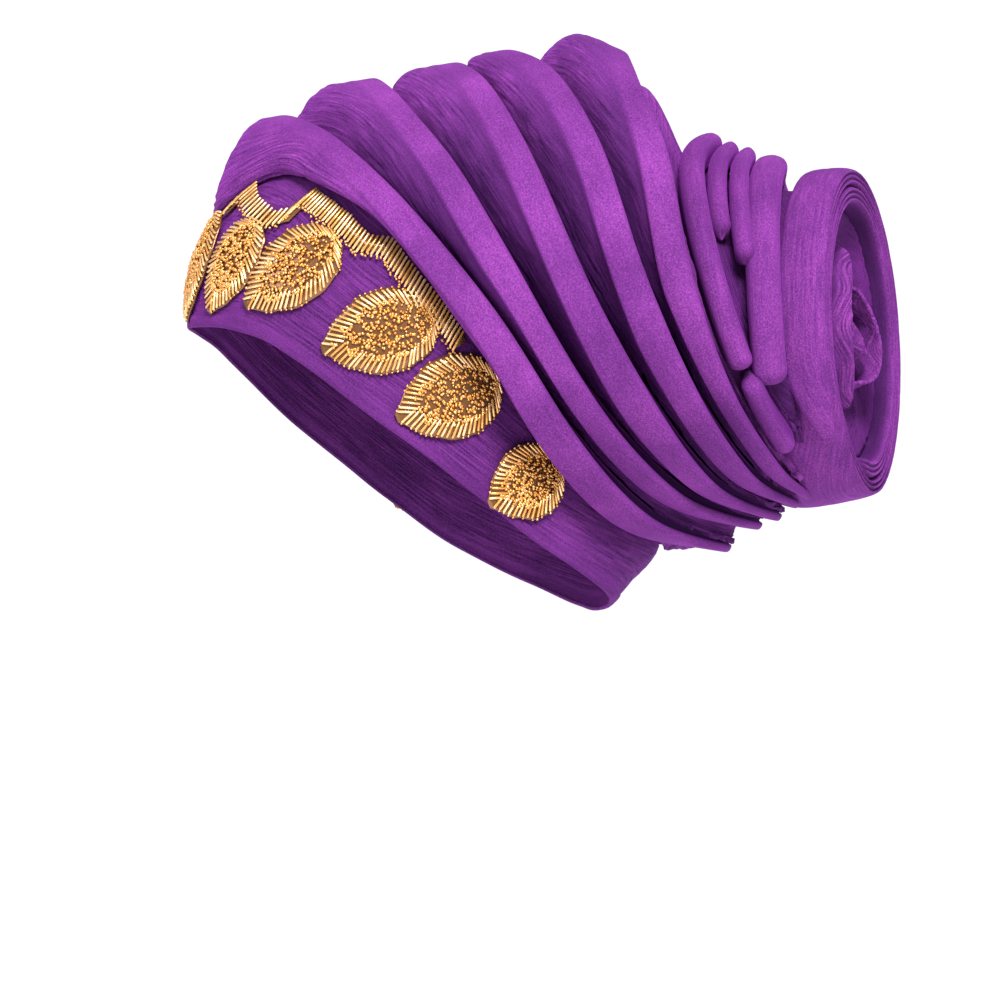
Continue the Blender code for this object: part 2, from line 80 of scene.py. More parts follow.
# The fan: five tiers, turned with the rosette toward the wearer's left
FAN_TURN = math.radians(15)
FAN_LENGTH = 0.200
FAN_HEIGHT = 0.200
FAN_HALF_WIDTH = 0.110
VALLEY = 0.026
STRIP = 0.013
LIP = 0.0025
LIP_ROUND = 0.6
WALL_BEND = 0.42
LEAST_WALL_BEND = 1.5
UNDERCUT = 0.004
FOOT_TUCK = 0.003
CREST = 0.0015
VALLEY_OPENING = math.radians(28)
LEAST_VALLEY = 0.004
VALLEY_STEP = 0.0005
FOOT_ROOM = 0.003

# Every ring of the fan runs from its top round the side to its bottom
RINGS = {
    # name: top and bottom height, half width, valley depth at top, side and bottom,
    # backward lean in degrees, sweep of the far side, then how far back at seven even steps
    "tier_1": (0.048, -0.858, 0.96, (0.40, 0.80, 0.17), 5, 0.0,
               (-0.292, -0.180, -0.016, 0.158, 0.300, 0.455, 0.630)),
    "tier_2": (0.125, -0.812, 1.00, (0.78, 0.95, 0.17), 5, 0.0,
               (-0.105, -0.045, 0.080, 0.210, 0.350, 0.515, 0.695)),
    "tier_3": (0.158, -0.794, 0.99, (0.98, 0.95, 0.17), 5, 0.0,
               (0.065, 0.130, 0.220, 0.320, 0.450, 0.585, 0.735)),
    "tier_4": (0.184, -0.768, 0.95, (1.20, 0.95, 0.17), 5, 0.0,
               (0.170, 0.265, 0.355, 0.430, 0.535, 0.655, 0.772)),
    "tier_5": (0.173, -0.752, 0.87, (1.20, 0.80, 0.17), 38, 0.0,
               (0.415, 0.430, 0.485, 0.525, 0.605, 0.715, 0.800)),
    "pleat_a": (0.006, -0.720, 0.77, (0.45, 0.45, 0.30), 5, 0.15,
                (0.610, 0.565, 0.570, 0.612, 0.680, 0.762, 0.812)),
    "pleat_b_1": (-0.010, -0.700, 0.73, (0.32, 0.32, 0.30), 5, 0.20,
                  (0.645, 0.612, 0.610, 0.654, 0.700, 0.745, 0.780)),
    "pleat_b_2": (-0.022, -0.700, 0.73, (0.32, 0.32, 0.30), 5, 0.28,
                  (0.680, 0.656, 0.652, 0.676, 0.708, 0.745, 0.780)),
    "pleat_c": (-0.042, -0.735, 0.71, (0.45, 0.45, 0.30), 5, 0.38,
                (0.745, 0.724, 0.710, 0.713, 0.733, 0.773, 0.820)),
}

# Tier 1 starts on the cap, along this line round it
BROW_LINE = (
    # degrees round the ring, degrees round the head, height as a share of the fan's
    (0, 0, -0.140),
    (30, 43, -0.075),
    (60, 86, -0.200),
    (90, 105.5, -0.408),
    (120, 123, -0.625),
    (150, 147, -0.780),
    (180, 180, -0.850),
)
BROW_FAR_LEAD = 9
FRONT_DROOP = 2.2
FRONT_FULLNESS = 0.55

# Shapes of a tier's fold at seven even steps round its ring
STRIP_WIDTHS = (0.80, 0.86, 0.95, 1.00, 1.12, 1.10, 0.70)
STRIP_SHARE = 0.74
FACE_RISE = (0.50, 0.50, 0.42, 0.30, 0.28, 0.30, 0.32)
FACE_REACH = (0.50, 0.48, 0.42, 0.42, 0.40, 0.30, 0.20)
FACE_TURN = (0, 8, 34, 60, 62, 40, 0)

# How far the gathered cloth behind tier 5 stands up, at top, side and bottom
GATHER_SWELL = (0.55, 0.30, 0.08)

# Pleats of the rosette that stand by themselves
PLEATS = {
    # name: ring, width, first and last degree
    "pleat_a": ("pleat_a", 0.0100, -112, 112),
    "pleat_b_1": ("pleat_b_1", 0.0078, -64, 64),
    "pleat_b_2": ("pleat_b_2", 0.0078, -73, 73),
    "pleat_c": ("pleat_c", 0.0136, -114, 114),
    "pleat_d_left": ("pleat_a", 0.0088, 114, 146),
    "pleat_d_right": ("pleat_a", 0.0088, -146, -114),
}
SEAT_NARROWS = {"pleat_a": 142, "pleat_c": 109}
NARROWING_DEGREES = 20
LEAST_SEAT = 0.15
PLEAT_SEAT = 0.00104

# Where a pleat's section turns: shoulder and brow as shares of the lip, crest as a share of the width
PLEAT_SHOULDER = 1.4
PLEAT_BROW = 0.2
PLEAT_CREST = 0.45
PLEAT_HEEL = 0.0005

# The rosette's wound band, its outer end first
COIL_RADIUS = 0.069
COIL_WIDTH = 0.016
COIL_LAYER = 0.0072
COIL_BACK = 0.173
COIL_DROP = 0.081
COIL_TURN = math.radians(17.5)
COIL_TILT = math.radians(3)
COIL_START = 131
COIL_SWEEP = 675
COIL_STEP_IN = (290, 360)

# The coil's pointed outer end and the foot that spreads toward the fan, in degrees and metres
COIL_TIP = 34
COIL_END = 0.10
COIL_END_LAYER = 0.4
COIL_END_BACK = 0.3
COIL_SPREAD = 0.0165
COIL_FLARE = 0.30
COIL_SPREAD_AT = 322
COIL_SPREAD_REACH = 60
COIL_FORWARD = 0.0034
COIL_SECTION = (
    # share of the half width, share of the half layer
    (-1.00, 0.50),
    (-0.80, 0.95),
    (0.80, 0.95),
    (1.00, 0.60),
    (0.90, 0.28),
    (1.00, 0.00),
    (0.90, -0.30),
    (1.00, -0.60),
    (0.80, -0.95),
    (-0.90, -0.95),
)

# Where the gathered cloth meets the coil: distance from its axis and place along it
COIL_MOUTH = (
    (0.0600, -0.0118),
    (0.0530, -0.0094),
)

# The crumpled cloth that closes the rosette, its edge and innermost ring as shares of its radius
CORE_EDGE = 0.994
CORE_LEAST = 0.05
CORE_FOLDS = 7
CORE_CROSS_FOLDS = 3
CORE_CROSS_RUFFLE = 0.5
CORE_RUFFLE = 0.0028
CORE_RECESS = 0.001
CORE_DISH = 0.009
CORE_TWIST = 2.2

# Flaps in the rosette's middle, at shares of its radius
CORE_FLAPS = {
    # name: distance from the axis, first and last degree, height, ruffles, seat
    "core_flap_1": (0.74, 15, 150, 0.013, 1.5, 0.0016),
    "core_flap_2": (0.50, 170, 330, 0.015, 1.2, 0.0017),
    "core_flap_3": (0.26, 40, 250, 0.015, 1.6, 0.0022),
}
FLAP_RUFFLE = 0.0022
FLAP_ENDS = 0.45
FLAP_ROUNDNESS = 0.6
FLAP_LEAN = 0.35

# Bead leaves on the band
LEAF_WIDTH = 0.028
LEAF_FULLNESS = 1.20
LEAF_LONGER = 0.0062
LEAF_DROP = 0.0018
LEAF_MARGIN = 0.0002
LEAF_END = 0.985
LEAF_ROWS = (
    # share of the length from the base, share of the half width
    (0.00, 0.30),
    (0.13, 0.78),
    (0.34, 1.00),
    (0.57, 0.96),
    (0.79, 0.64),
    (1.00, 0.10),
)
LEAVES = (
    # name, base and tip as degrees from the front and share of the fan's height, width, seat
    ("leaf_front", 1, -0.185, -2, -0.375, 0.88, 0.0013),
    ("leaf_left_1", 27, -0.205, 16, -0.360, 0.86, 0.0007),
    ("leaf_left_2", 54, -0.235, 31.6, -0.350, 0.95, 0.0007),
    ("leaf_left_3", 79.5, -0.385, 54.8, -0.440, 1.00, 0.0005),
    ("leaf_left_4", 95, -0.512, 73.5, -0.578, 1.00, 0.0005),
    ("leaf_left_5", 111.5, -0.684, 96, -0.750, 0.90, 0.0013),
)
STEM_WIDTH = 0.0070
STEM_SEAT = 0.0007
RIGHT_STEM_START = 3
STEM_LINE = (
    # degrees from the front, height as a share of the fan's
    (7, -0.160),
    (13, -0.120),
    (24, -0.158),
    (34, -0.186),
    (40, -0.180),
    (45, -0.142),
    (53, -0.172),
    (59, -0.200),
    (64.5, -0.238),
    (71, -0.246),
    (77.5, -0.314),
    (81.5, -0.352),
    (85, -0.390),
    (89, -0.440),
)

# Steps for the slope of the cap, in degrees and metres
SLOPE_TURN = 0.5
SLOPE_RISE = 0.001

# The drawn cloth's wall
WALL = 0.0014

# How finely the pieces are drawn: stations along them and steps across each span of a section
STATIONS = 260
FACE_POINTS = (0.12, 0.25, 0.38, 0.51, 0.63, 0.75, 0.86, 0.95)
FACE_STEPS = (5, 5, 5, 5, 5, 5, 4, 3, 2)
FACE_COLUMNS = sum(FACE_STEPS)
TIER_STEPS = (*FACE_STEPS, 10, 4, 4, 4)
TIER_SMOOTHING = 6
GATHER_STEPS = (10, 14, 8, 10, 8, 10, 5)
GATHER_SMOOTHING = 44
PLEAT_STEPS = (6, 3, 8, 8, 3, 6)
PLEAT_STATIONS_PER_DEGREE = 1.3
LEAST_PLEAT_STATIONS = 24
COIL_STATIONS = 330
COIL_STEPS = (4, 9, 5, 5, 5, 5, 5, 5, 9, 4)
CORE_ROWS = 34
CORE_SIDES = 160
FLAP_STATIONS = 90
FLAP_ROWS = 18
FLAP_LEVELS = 40
CAP_RISE_ROWS = 80
CAP_ROW_SPREAD = 1.12
CAP_START = 1.35
CROWN_FLAT = 0.0002
HEM_SMOOTHING = 3.0
HEM_SMOOTHING_STEPS = 4
HEM_ROWS = (
    # metres above the hem, share of its roll
    (0.0, 0.2), (0.0006, 0.8), (0.0016, 1.0), (0.0034, 1.0), (0.0046, 0.75), (0.0054, 0.0),
)

# Crinkles in cloth: how they sway, and the share and fineness of each size
NOISE_ROWS = 1024
SWAY_CELLS = 22
SWAY_FINENESS = 40
CRINKLE_SIZES = ((0.6, 1), (0.4, 2))
CRINKLE_SHARPNESS = 2.4

# Relief in metres, then cells and fineness of the swells, and how strongly the crinkles show as bumps and
# as painted shade in their grooves
TIER_CRINKLE = 0.0007
TIER_SWELL = 0.0005
TIER_SWELLS = (26, 70)
STRIP_SWELL = 0.25
STRIP_STEP = 0.0011
STRIP_TONE = 0.12
CAP_CRINKLE = 0.0009
CAP_SWELL = 0.0003
CAP_SWELLS = (18, 90)
HEM_TONE = 0.3
LINE_DEPTH = 0.0006
GATHER_WAVE = 0.0006
GATHER_SWELLS = (40, 60)
RIB_DEPTH = 0.0009
RIB_TURNS = 6
RIB_SQUEEZE = 0.08
RIBS_HIDE = 0.8
PLEAT_CRINKLE = 0.00018
PLEAT_TONE = 0.2
PLEAT_END = 0.55
PLEAT_TIP = 0.03
COIL_CRINKLE = 0.00022
COIL_TONE = 0.35
CORE_CRINKLE = 0.0012
CORE_CRINKLE_TWIST = 0.25
CORE_SQUEEZE = 0.06
FLAP_CRINKLE = 0.0006

# Where relief starts and ends: columns from the strip's edge on a tier, heights in metres on the cap
CRINKLES_FADE = (-12, 1)
STEP_STARTS = (6 - FACE_COLUMNS, -8)
STEP_ENDS = (-4, 0)
HEM_ENDS = (0.0045, 0.009)
CROWN_STARTS = (-0.03, -0.01)
RIBS_START = (0.55, 0.85)

# Painted shade in the folds, from 0 to 1, and where: columns, or degrees from the top of the fan
TOP_SHADE = 0.26
TOP_ENDS = (18, 66)
BOTTOM_LIGHT = 0.30
BOTTOM_STARTS = (125, 165)
BROW_LIGHT = 0.38
BROW_STARTS = (8 - FACE_COLUMNS, 0)
FACE_ENDS = (-2, 1)
WALL_DARKENS = (11, 17)
FIRST_TIER_SHADE = 0.25
CAP_SHADE = 0.38
GATHER_SHADE = 0.12
MOUTH_SHADE = 0.55
MOUTH_STARTS = (20, 29)
PLEAT_SHADE = 0.85
PLEAT_SIDES = (3, 9)
COIL_EDGE_SHADE = 0.7
COIL_INSIDE = (41, 45)
COIL_INSIDE_SHADE = 0.8
COIL_CREASES = (22.5, 33)
COIL_CREASE_REACH = 3.2
COIL_CREASE_SHADE = 0.75
CORE_SHADE = 0.25
CORE_EDGE_SHADE = 0.4
FLAP_SHADE = 0.75
FLAP_LIGHTENS = (0.1, 0.8)

# Long beads, in metres and degrees
BUGLE_RADIUS = 0.00058
BUGLE_PITCH = 0.0022
BUGLE_SIDES = 6
BUGLE_ENDS = ((0.0, 0.5), (0.05, 1.0), (0.95, 1.0), (1.0, 0.5))
BUGLE_SEAT = 0.9
BUGLE_SLIP = 0.0003
BUGLE_INSET = 0.97
BUGLE_REACH = 0.92
BUGLE_COVER = 0.62
LEAF_BUGLE = 0.0078
LEAST_BUGLE = 0.0012
BASE_SLANT = 88
SLANT_LOSS = 66
LEAST_SLANT = 0.2
LEAF_BUGLE_TONES = (0.45, 1.0)
LEAF_GRID = (26, 9)
BACKING = 0.0009

# Seed beads on the leaves: in the heart, and beside the ends of the long beads
CORE_SEEDS = 420
MOST_TRIES = 9000
SEED_RADIUS = 0.00078
SEED_BANDS = 4
SEED_SIDES = 7
SEED_SQUASH = (0.75, 1.05)
SEED_SIZES = (0.8, 1.15)
SEED_HEAP = (0.3, 1.5)
SEED_TONES = (0.25, 0.72)
LEAST_HEART = 0.0016
HEART_END = 0.78
TIP_HEART = 0.001
RIM_SEEDS = 0.6
RIM_SEED_TONES = (0.3, 0.75)

# The stem's leaning long beads, closer together behind its front
STEM_BUGLE = 0.0092
STEM_BUGLE_SIZES = (0.94, 1.04)
STEM_BUGLE_TONES = (0.5, 1.0)
STEM_LEAN = math.radians(60)
STEM_PITCH = 0.00185
STEM_FRONT = 36
STEM_FRONT_PITCH = 1.6
STEM_BACKING = 0.85
STEM_SEEDS = 2
STEM_SEED_DRIFT = 0.0008
STEM_SEED_TONES = (0.25, 0.7)

# Looks: scales of the textures, how much they change the tone (for the crinkles and the folds, as painted
# shade), and colours with the two ends first
CRINKLE_SCALE = (55, 800, 0)
THREAD_SCALE = (900, 2600, 0)
FUZZ_SCALE = 1500.0
PATCH_SCALE = 32.0
CRINKLE_GROOVE_SHADE = 1.7
FUZZ_VARIES = 0.95
PATCH_VARIES = 0.5
PAINTED_SHADE_STRENGTH = 0.86
CLOTH_COLOURS = (
    (0.0, (0.004, 0.0008, 0.013)),
    (1.0, (0.176, 0.0340, 0.200)),
    (0.5, (0.064, 0.0115, 0.089)),
)
BEAD_SCALE = 2200.0
BEAD_VARIES = 0.22
BEAD_COLOURS = (
    (0.0, (0.10, 0.040, 0.012)),
    (1.0, (0.58, 0.37, 0.19)),
    (0.12, (0.15, 0.058, 0.012)),
    (0.35, (0.36, 0.145, 0.018)),
    (0.65, (0.40, 0.205, 0.062)),
)
FLOOR_COLOURS = ((0.0, (0.93, 0.93, 0.93)), (1.0, (0.95, 0.95, 0.95)))

# The floor, the lamps and the camera at the photograph's angle, in metres and degrees
FLOOR_SIDES = 96
FLOOR_RADIUS = 60.0
FLOOR_DROP = -0.46
LAMPS = (
    # name, azimuth, elevation, distance, size, watts, colour
    ("key", 84, 38, 1.8, 0.6, 105.0, (1.0, 0.96, 0.97)),
    ("fill", 10, 25, 2.2, 0.9, 26.0, (1.0, 0.96, 1.0)),
)
AIM_BACK = 0.02917
AIM_DROP = 0.150
AIM = Vector((AIM_BACK * math.sin(FAN_TURN), AIM_BACK * math.cos(FAN_TURN), -AIM_DROP))
CAMERA_AZIMUTH = 75
CAMERA_DISTANCE = 2.0
CAMERA_LENS = 172.8
CAMERA_SENSOR = 36.0


def smooth(values, degrees):
    """A smooth curve through values at even steps from 0 to 180 degrees, level at both ends."""
    steps = len(values) - 1
    place = min(abs(degrees), 180) / 180 * steps
    i = min(int(place), steps - 1)
    u = place - i
    around = [values[abs(j) if j <= steps else 2 * steps - j] for j in (i - 1, i, i + 1, i + 2)]
    a, b, c, d = around
    return b + u * ((c - a) + u * ((2 * a - 5 * b + 4 * c - d) + u * (3 * (b - c) + d - a))) / 2


def between(rows, at):
    """The values of the last columns of rows, read half smoothly between the first's."""
    for low, high in zip(rows, rows[1:]):
        if at <= high[0]:
            break
    u = (at - low[0]) / (high[0] - low[0])
    u = u * u * (3 - 2 * u) * 0.5 + u * 0.5
    return [p + (q - p) * u for p, q in zip(low[1:], high[1:])]


def turned(point):
    """A point of the fan, turned toward the wearer's left."""
    return Matrix.Rotation(-FAN_TURN, 3, "Z") @ point


def cap_share(z):
    """How wide the cap is at a height, as a share of its widest."""
    widest = -CROWN_HEIGHT
    if z >= widest:
        rise = min(1.0, (z - widest) / CROWN_HEIGHT)
        return (1 - rise**CAP_ROUNDNESS) ** (1 / CAP_ROUNDNESS)
    return 1.0


def cap_point(degrees, z):
    """A point on the cap's outside, so far round the head from the front toward the left."""
    angle = math.radians(degrees)
    half_width = HEAD_WIDTH / 2 + CLOTH
    half_length = HEAD_LENGTH / 2 + CLOTH
    share = cap_share((z - CLOTH) if z > 0 else z)
    behind = max(0.0, -math.cos(angle)) ** 2
    low = max(0.0, (-CROWN_HEIGHT - z) / (NAPE_DROP - CROWN_HEIGHT))
    full = math.sin(math.pi / 2 * min(1.0, low / NAPE_TUCK_START)) ** 2
    tuck = max(0.0, (low - NAPE_TUCK_START) / (1 - NAPE_TUCK_START))
    share += behind * (NAPE_FULLNESS * full - NAPE_TUCK * tuck**NAPE_TUCK_POWER) / half_length
    return Vector((
        half_width * share * math.sin(angle),
        -HEAD_BACK_SHIFT - half_length * share * math.cos(angle),
        z,
    ))


def cap_normal(degrees, z):
    along = cap_point(degrees + SLOPE_TURN, z) - cap_point(degrees - SLOPE_TURN, z)
    up = cap_point(degrees, z + SLOPE_RISE) - cap_point(degrees, z - SLOPE_RISE)
    return along.cross(up).normalized()


def on_cap(degrees, z, out):
    return cap_point(degrees, z) + cap_normal(degrees, z) * out


def hem_height(degrees):
    turn = abs((degrees + 180) % 360 - 180)
    (down,) = between(HEM_LINE, turn)
    return -BROW_DROP - (NAPE_DROP - BROW_DROP) * down


def ring_point(ring, degrees):
    """A point of a ring's rear edge, in the fan's own directions."""
    top, bottom, width, _, _, far_sweep, back = RINGS[ring]
    turn = math.radians(degrees)
    middle = (top + bottom) / 2 * FAN_HEIGHT
    half = (top - bottom) / 2 * FAN_HEIGHT
    side = width * FAN_HALF_WIDTH * math.sin(turn)
    far = min(0.0, math.sin(turn)) ** 2
    return Vector((
        side,
        smooth(back, degrees) * FAN_LENGTH + far_sweep * width * FAN_HALF_WIDTH * far,
        middle + half * math.cos(turn),
    ))


def ring_frame(ring, degrees):
    """A ring's edge point, the way out from the fan there and the way back across it."""
    step = 1.0
    here = ring_point(ring, degrees)
    along = (ring_point(ring, degrees + step) - ring_point(ring, degrees - step)).normalized()
    turn = math.radians(degrees)
    out = Vector((math.sin(turn), 0.0, math.cos(turn)))
    out = (out - along * out.dot(along)).normalized()
    rear = out.cross(along).normalized()
    if rear.y < 0:
        rear = -rear
    lean = math.radians(RINGS[ring][4]) * max(0.0, math.cos(turn)) ** 2
    out, rear = (
        out * math.cos(lean) + rear * math.sin(lean),
        rear * math.cos(lean) - out * math.sin(lean),
    )
    return here, out, rear


def over_cap(point):
    """How far a point is outside the cap, nearly."""
    half_width = HEAD_WIDTH / 2 + CLOTH
    half_length = HEAD_LENGTH / 2 + CLOTH
    flat = math.hypot(point.x / half_width, (point.y + HEAD_BACK_SHIFT) / half_length)
    rise = max(0.0, (point.z + CROWN_HEIGHT) / (CROWN_HEIGHT + CLOTH))
    share = (flat**CAP_ROUNDNESS + rise**CAP_ROUNDNESS) ** (1 / CAP_ROUNDNESS)
    return (share - 1) * half_width


def valley_depth(ring, degrees):
    """How deep the valley behind a ring is, with its foot kept clear of the cap."""
    top, side, bottom = RINGS[ring][3]
    depth = VALLEY * smooth((top, side, bottom), degrees)
    here, out, _ = ring_frame(ring, degrees)
    while depth > LEAST_VALLEY and over_cap(turned(here - out * depth)) < FOOT_ROOM:
        depth -= VALLEY_STEP
    return depth


def rolled_edge(here, out, rear, strip, depth):
    """The wide strip, its rounded lip and the wall that goes down behind it."""
    full = min(1.0, depth / STRIP)
    return [
        here - rear * strip - out * CREST,
        here - rear * LIP * LIP_ROUND,
        here - out * LIP,
        here - rear * UNDERCUT * full - out * max(LIP * LEAST_WALL_BEND, depth * WALL_BEND),
        here - rear * FOOT_TUCK * full - out * depth,
    ]


def brow_start(degrees):
    """Where tier 1 leaves the cap, and its way out."""
    side = 1 if degrees >= 0 else -1
    round_head, height = between_smooth(BROW_LINE, abs(degrees))
    z = height * FAN_HEIGHT
    lead = BROW_FAR_LEAD * min(0.0, math.sin(math.radians(degrees))) ** 2
    at = side * (round_head - lead) - math.degrees(FAN_TURN)
    droop = FRONT_DROOP * max(0.0, math.cos(math.radians(degrees))) ** 3
    untwist = Matrix.Rotation(FAN_TURN, 3, "Z")
    normal = untwist @ cap_normal(at, z)
    way = (normal + Vector((0, 0, -1)) * droop).normalized()
    seat = BROW_SEAT * (1 + max(0.0, -math.cos(math.radians(degrees))) ** 2)
    return untwist @ on_cap(at, z, seat), way


def valley_seat(before, degrees):
    """Where the cloth behind a ring starts in its valley, and its way out."""
    here, out, rear = ring_frame(before, degrees)
    depth = valley_depth(before, degrees)
    tuck = FOOT_TUCK * min(1.0, depth / STRIP)
    start = here - rear * (tuck - TIER_GAP) - out * depth
    return start, out * math.cos(VALLEY_OPENING) + rear * math.sin(VALLEY_OPENING)


def between_smooth(rows, degrees):
    """Smooth reading of rows at even steps from 0 to 180 degrees."""
    return [smooth([row[column] for row in rows], degrees) for column in (1, 2)]


def pleat_section(ring, width, degrees):
    """One section of a pleat that stands by itself on the cloth behind the fan."""
    here, out, rear = ring_frame(ring, degrees)
    depth = valley_depth(ring, degrees)
    front = here - rear * width
    lift = CREST * min(1.0, width / STRIP)
    return [
        front - out * depth,
        front - out * LIP * PLEAT_SHOULDER,
        front + rear * LIP * LIP_ROUND - out * LIP * PLEAT_BROW,
        here - rear * width * PLEAT_CREST + out * lift,
        here - rear * LIP * LIP_ROUND,
        here - out * LIP,
        here - rear * PLEAT_HEEL - out * depth,
    ]


def seats_below(pleat, degrees):
    """The places under a pleat's front and rear feet."""
    ring, width, _, _ = PLEATS[pleat]
    past = max(0.0, abs(degrees) - SEAT_NARROWS[pleat]) / NARROWING_DEGREES
    width *= max(LEAST_SEAT, 1 - past)
    here, out, rear = ring_frame(ring, degrees)
    under = here - out * (valley_depth(ring, degrees) + PLEAT_SEAT)
    return under - rear * (width + TIER_GAP), under + rear * GAP


def coil_point(degrees, radius, back):
    """A point of the rosette, so far from its axis and so far back along it."""
    turn = math.radians(degrees)
    local = Vector((radius * math.sin(turn), back, radius * math.cos(turn)))
    place = Matrix.Rotation(-COIL_TURN, 3, "Z") @ Matrix.Rotation(COIL_TILT, 3, "X")
    return place @ local + Vector((0.0, COIL_BACK, -COIL_DROP))


def on_rosette(degrees, radius, back):
    """A point of the rosette, turned toward the wearer's left with the fan."""
    return turned(coil_point(degrees, radius, back))


def coil_centre(along):
    """How far the band's middle is from the axis, so many degrees from its outer end."""
    first, last = COIL_STEP_IN
    inner = COIL_RADIUS - COIL_LAYER / 2
    for start in (first, first + 360):
        u = min(1.0, max(0.0, (along - start) / (last - first)))
        inner -= (COIL_LAYER + GAP) * u * u * (3 - 2 * u)
    return inner


def core_radius():
    return coil_centre(COIL_SWEEP) - COIL_LAYER / 2 - GAP


def core_height(share, degrees):
    """How far back the middle's cloth lies, so far from the axis."""
    turn = math.radians(degrees)
    ruffle = math.cos(CORE_FOLDS * turn + CORE_TWIST * share * math.pi)
    ruffle += CORE_CROSS_RUFFLE * math.cos(CORE_CROSS_FOLDS * turn - CORE_TWIST * share)
    return CORE_RECESS - CORE_DISH * (1 - share**2) + CORE_RUFFLE * ruffle * math.sin(math.pi * share)


def cap_step(degrees, z):
    """Metres of cloth for a degree round the cap, and for a metre of height."""
    round_head = cap_point(degrees + 0.5, z) - cap_point(degrees - 0.5, z)
    upward = cap_point(degrees, z + SLOPE_RISE / 2) - cap_point(degrees, z - SLOPE_RISE / 2)
    return round_head.length, upward.length / SLOPE_RISE


def beyond(degrees, z, along, across, out):
    """A point on the cap, moved over its cloth by a distance across a direction."""
    round_step, up_step = cap_step(degrees, z)
    way = Vector((along[0] * round_step, along[1] * up_step)).normalized()
    moved = Vector((-way.y, way.x)) * across
    return on_cap(degrees + moved.x / round_step, z + moved.y / up_step, out)


def points_of(rows):
    return np.array([[list(p) for p in row] for row in rows])


def evened(rows, rounds=3):
    """Closed rows with the small steps from one station to the next smoothed away."""
    for _ in range(rounds):
        rows = (np.roll(rows, 1, 0) + 2 * rows + np.roll(rows, -1, 0)) / 4
    return rows


def through(rows, steps, closed=False):
    """A finer grid: a smooth curve across each row of points, in so many steps for each span."""
    if closed:
        rows = np.concatenate([rows[:, -1:], rows, rows[:, :2]], axis=1)
    else:
        first = 2 * rows[:, :1] - rows[:, 1:2]
        last = 2 * rows[:, -1:] - rows[:, -2:-1]
        rows = np.concatenate([first, rows, last], axis=1)
    gaps = np.sqrt(np.linalg.norm(np.diff(rows, axis=1), axis=2)) + 1e-6
    knots = np.concatenate([np.zeros((len(rows), 1)), np.cumsum(gaps, axis=1)], axis=1)
    columns = []
    for j, count in enumerate(steps):
        p = [rows[:, j + k] for k in range(4)]
        t = [knots[:, j + k, None] for k in range(4)]
        for step in range(count):
            at = t[1] + (t[2] - t[1]) * step / count
            a = [(p[k] * (t[k + 1] - at) + p[k + 1] * (at - t[k])) / (t[k + 1] - t[k]) for k in range(3)]
            b = [(a[k] * (t[k + 2] - at) + a[k + 1] * (at - t[k])) / (t[k + 2] - t[k]) for k in range(2)]
            columns.append((b[0] * (t[2] - at) + b[1] * (at - t[1])) / (t[2] - t[1]))
    if not closed:
        columns.append(rows[:, -2])
    return np.stack(columns, axis=1)


def steps_of(grid, axis, closed):
    if closed:
        return (np.roll(grid, -1, axis) - np.roll(grid, 1, axis)) / 2
    return np.gradient(grid, axis=axis)


def normals(grid, closed_along, closed_across):
    out = np.cross(steps_of(grid, 1, closed_across), steps_of(grid, 0, closed_along))
    return out / (np.linalg.norm(out, axis=2, keepdims=True) + 1e-12)


def lay_of(grid):
    """How far along each point is as a share, and how far across in metres."""
    along = np.repeat(np.arange(len(grid))[:, None] / len(grid), grid.shape[1], axis=1)
    steps = np.linalg.norm(np.diff(grid, axis=1), axis=2)
    across = np.concatenate([np.zeros((len(grid), 1)), np.cumsum(steps, axis=1)], axis=1)
    return along, across


def round_of(grid):
    """How far round each point of a grid is as a share, where its columns go round."""
    return np.repeat(np.arange(grid.shape[1])[None, :] / grid.shape[1], len(grid), axis=0)


def columns_of(grid):
    return np.arange(grid.shape[1])[None, :]


def run_along(points):
    """How far along a row of points each one is."""
    steps = np.linalg.norm(np.diff(points, axis=0), axis=1)
    return np.concatenate([[0], np.cumsum(steps)])


def noise(x, y, turn, seed):
    """Smooth noise from -1 to 1, that repeats when x has gone a turn."""
    table = np.random.default_rng(seed).uniform(-1, 1, (turn, NOISE_ROWS))
    low_x, low_y = np.floor(x), np.floor(y)
    u, v = x - low_x, y - low_y
    u, v = u * u * (3 - 2 * u), v * v * (3 - 2 * v)
    i, j = low_x.astype(int) % turn, low_y.astype(int) % NOISE_ROWS
    k, l = (i + 1) % turn, (j + 1) % NOISE_ROWS
    near = table[i, j] * (1 - v) + table[i, l] * v
    far = table[k, j] * (1 - v) + table[k, l] * v
    return near * (1 - u) + far * u


def crinkles(along, across, seed, cells=34, fineness=250, sway=0.005):
    """Narrow wavy grooves that run along a piece, from 0 to 1 deep."""
    moved = across + noise(along * SWAY_CELLS, across * SWAY_FINENESS, SWAY_CELLS, seed) * sway
    groove = 0.0
    for share, size in CRINKLE_SIZES:
        field = noise(along * cells * size, moved * fineness * size, cells * size, seed + size)
        groove = groove + share * np.clip(1 - np.abs(field) * CRINKLE_SHARPNESS, 0, 1) ** 2
    return groove


def swells(along, across, seed, cells, fineness):
    """Soft swells and hollows of a piece's cloth, from -1 to 1 high."""
    return noise(along * cells, across * fineness, cells, seed + 9)


def ease(low, high, value):
    share = np.clip((value - low) / (high - low), 0, 1)
    return share * share * (3 - 2 * share)


def mesh_of(name, verts, faces):
    mesh = bpy.data.meshes.new(name)
    mesh.from_pydata([tuple(p) for p in verts], [], [tuple(f) for f in faces])
    mesh.shade_smooth()
    return mesh


def added(name, data):
    """A new object in the scene."""
    made = bpy.data.objects.new(name, data)
    bpy.context.scene.collection.objects.link(made)
    return made


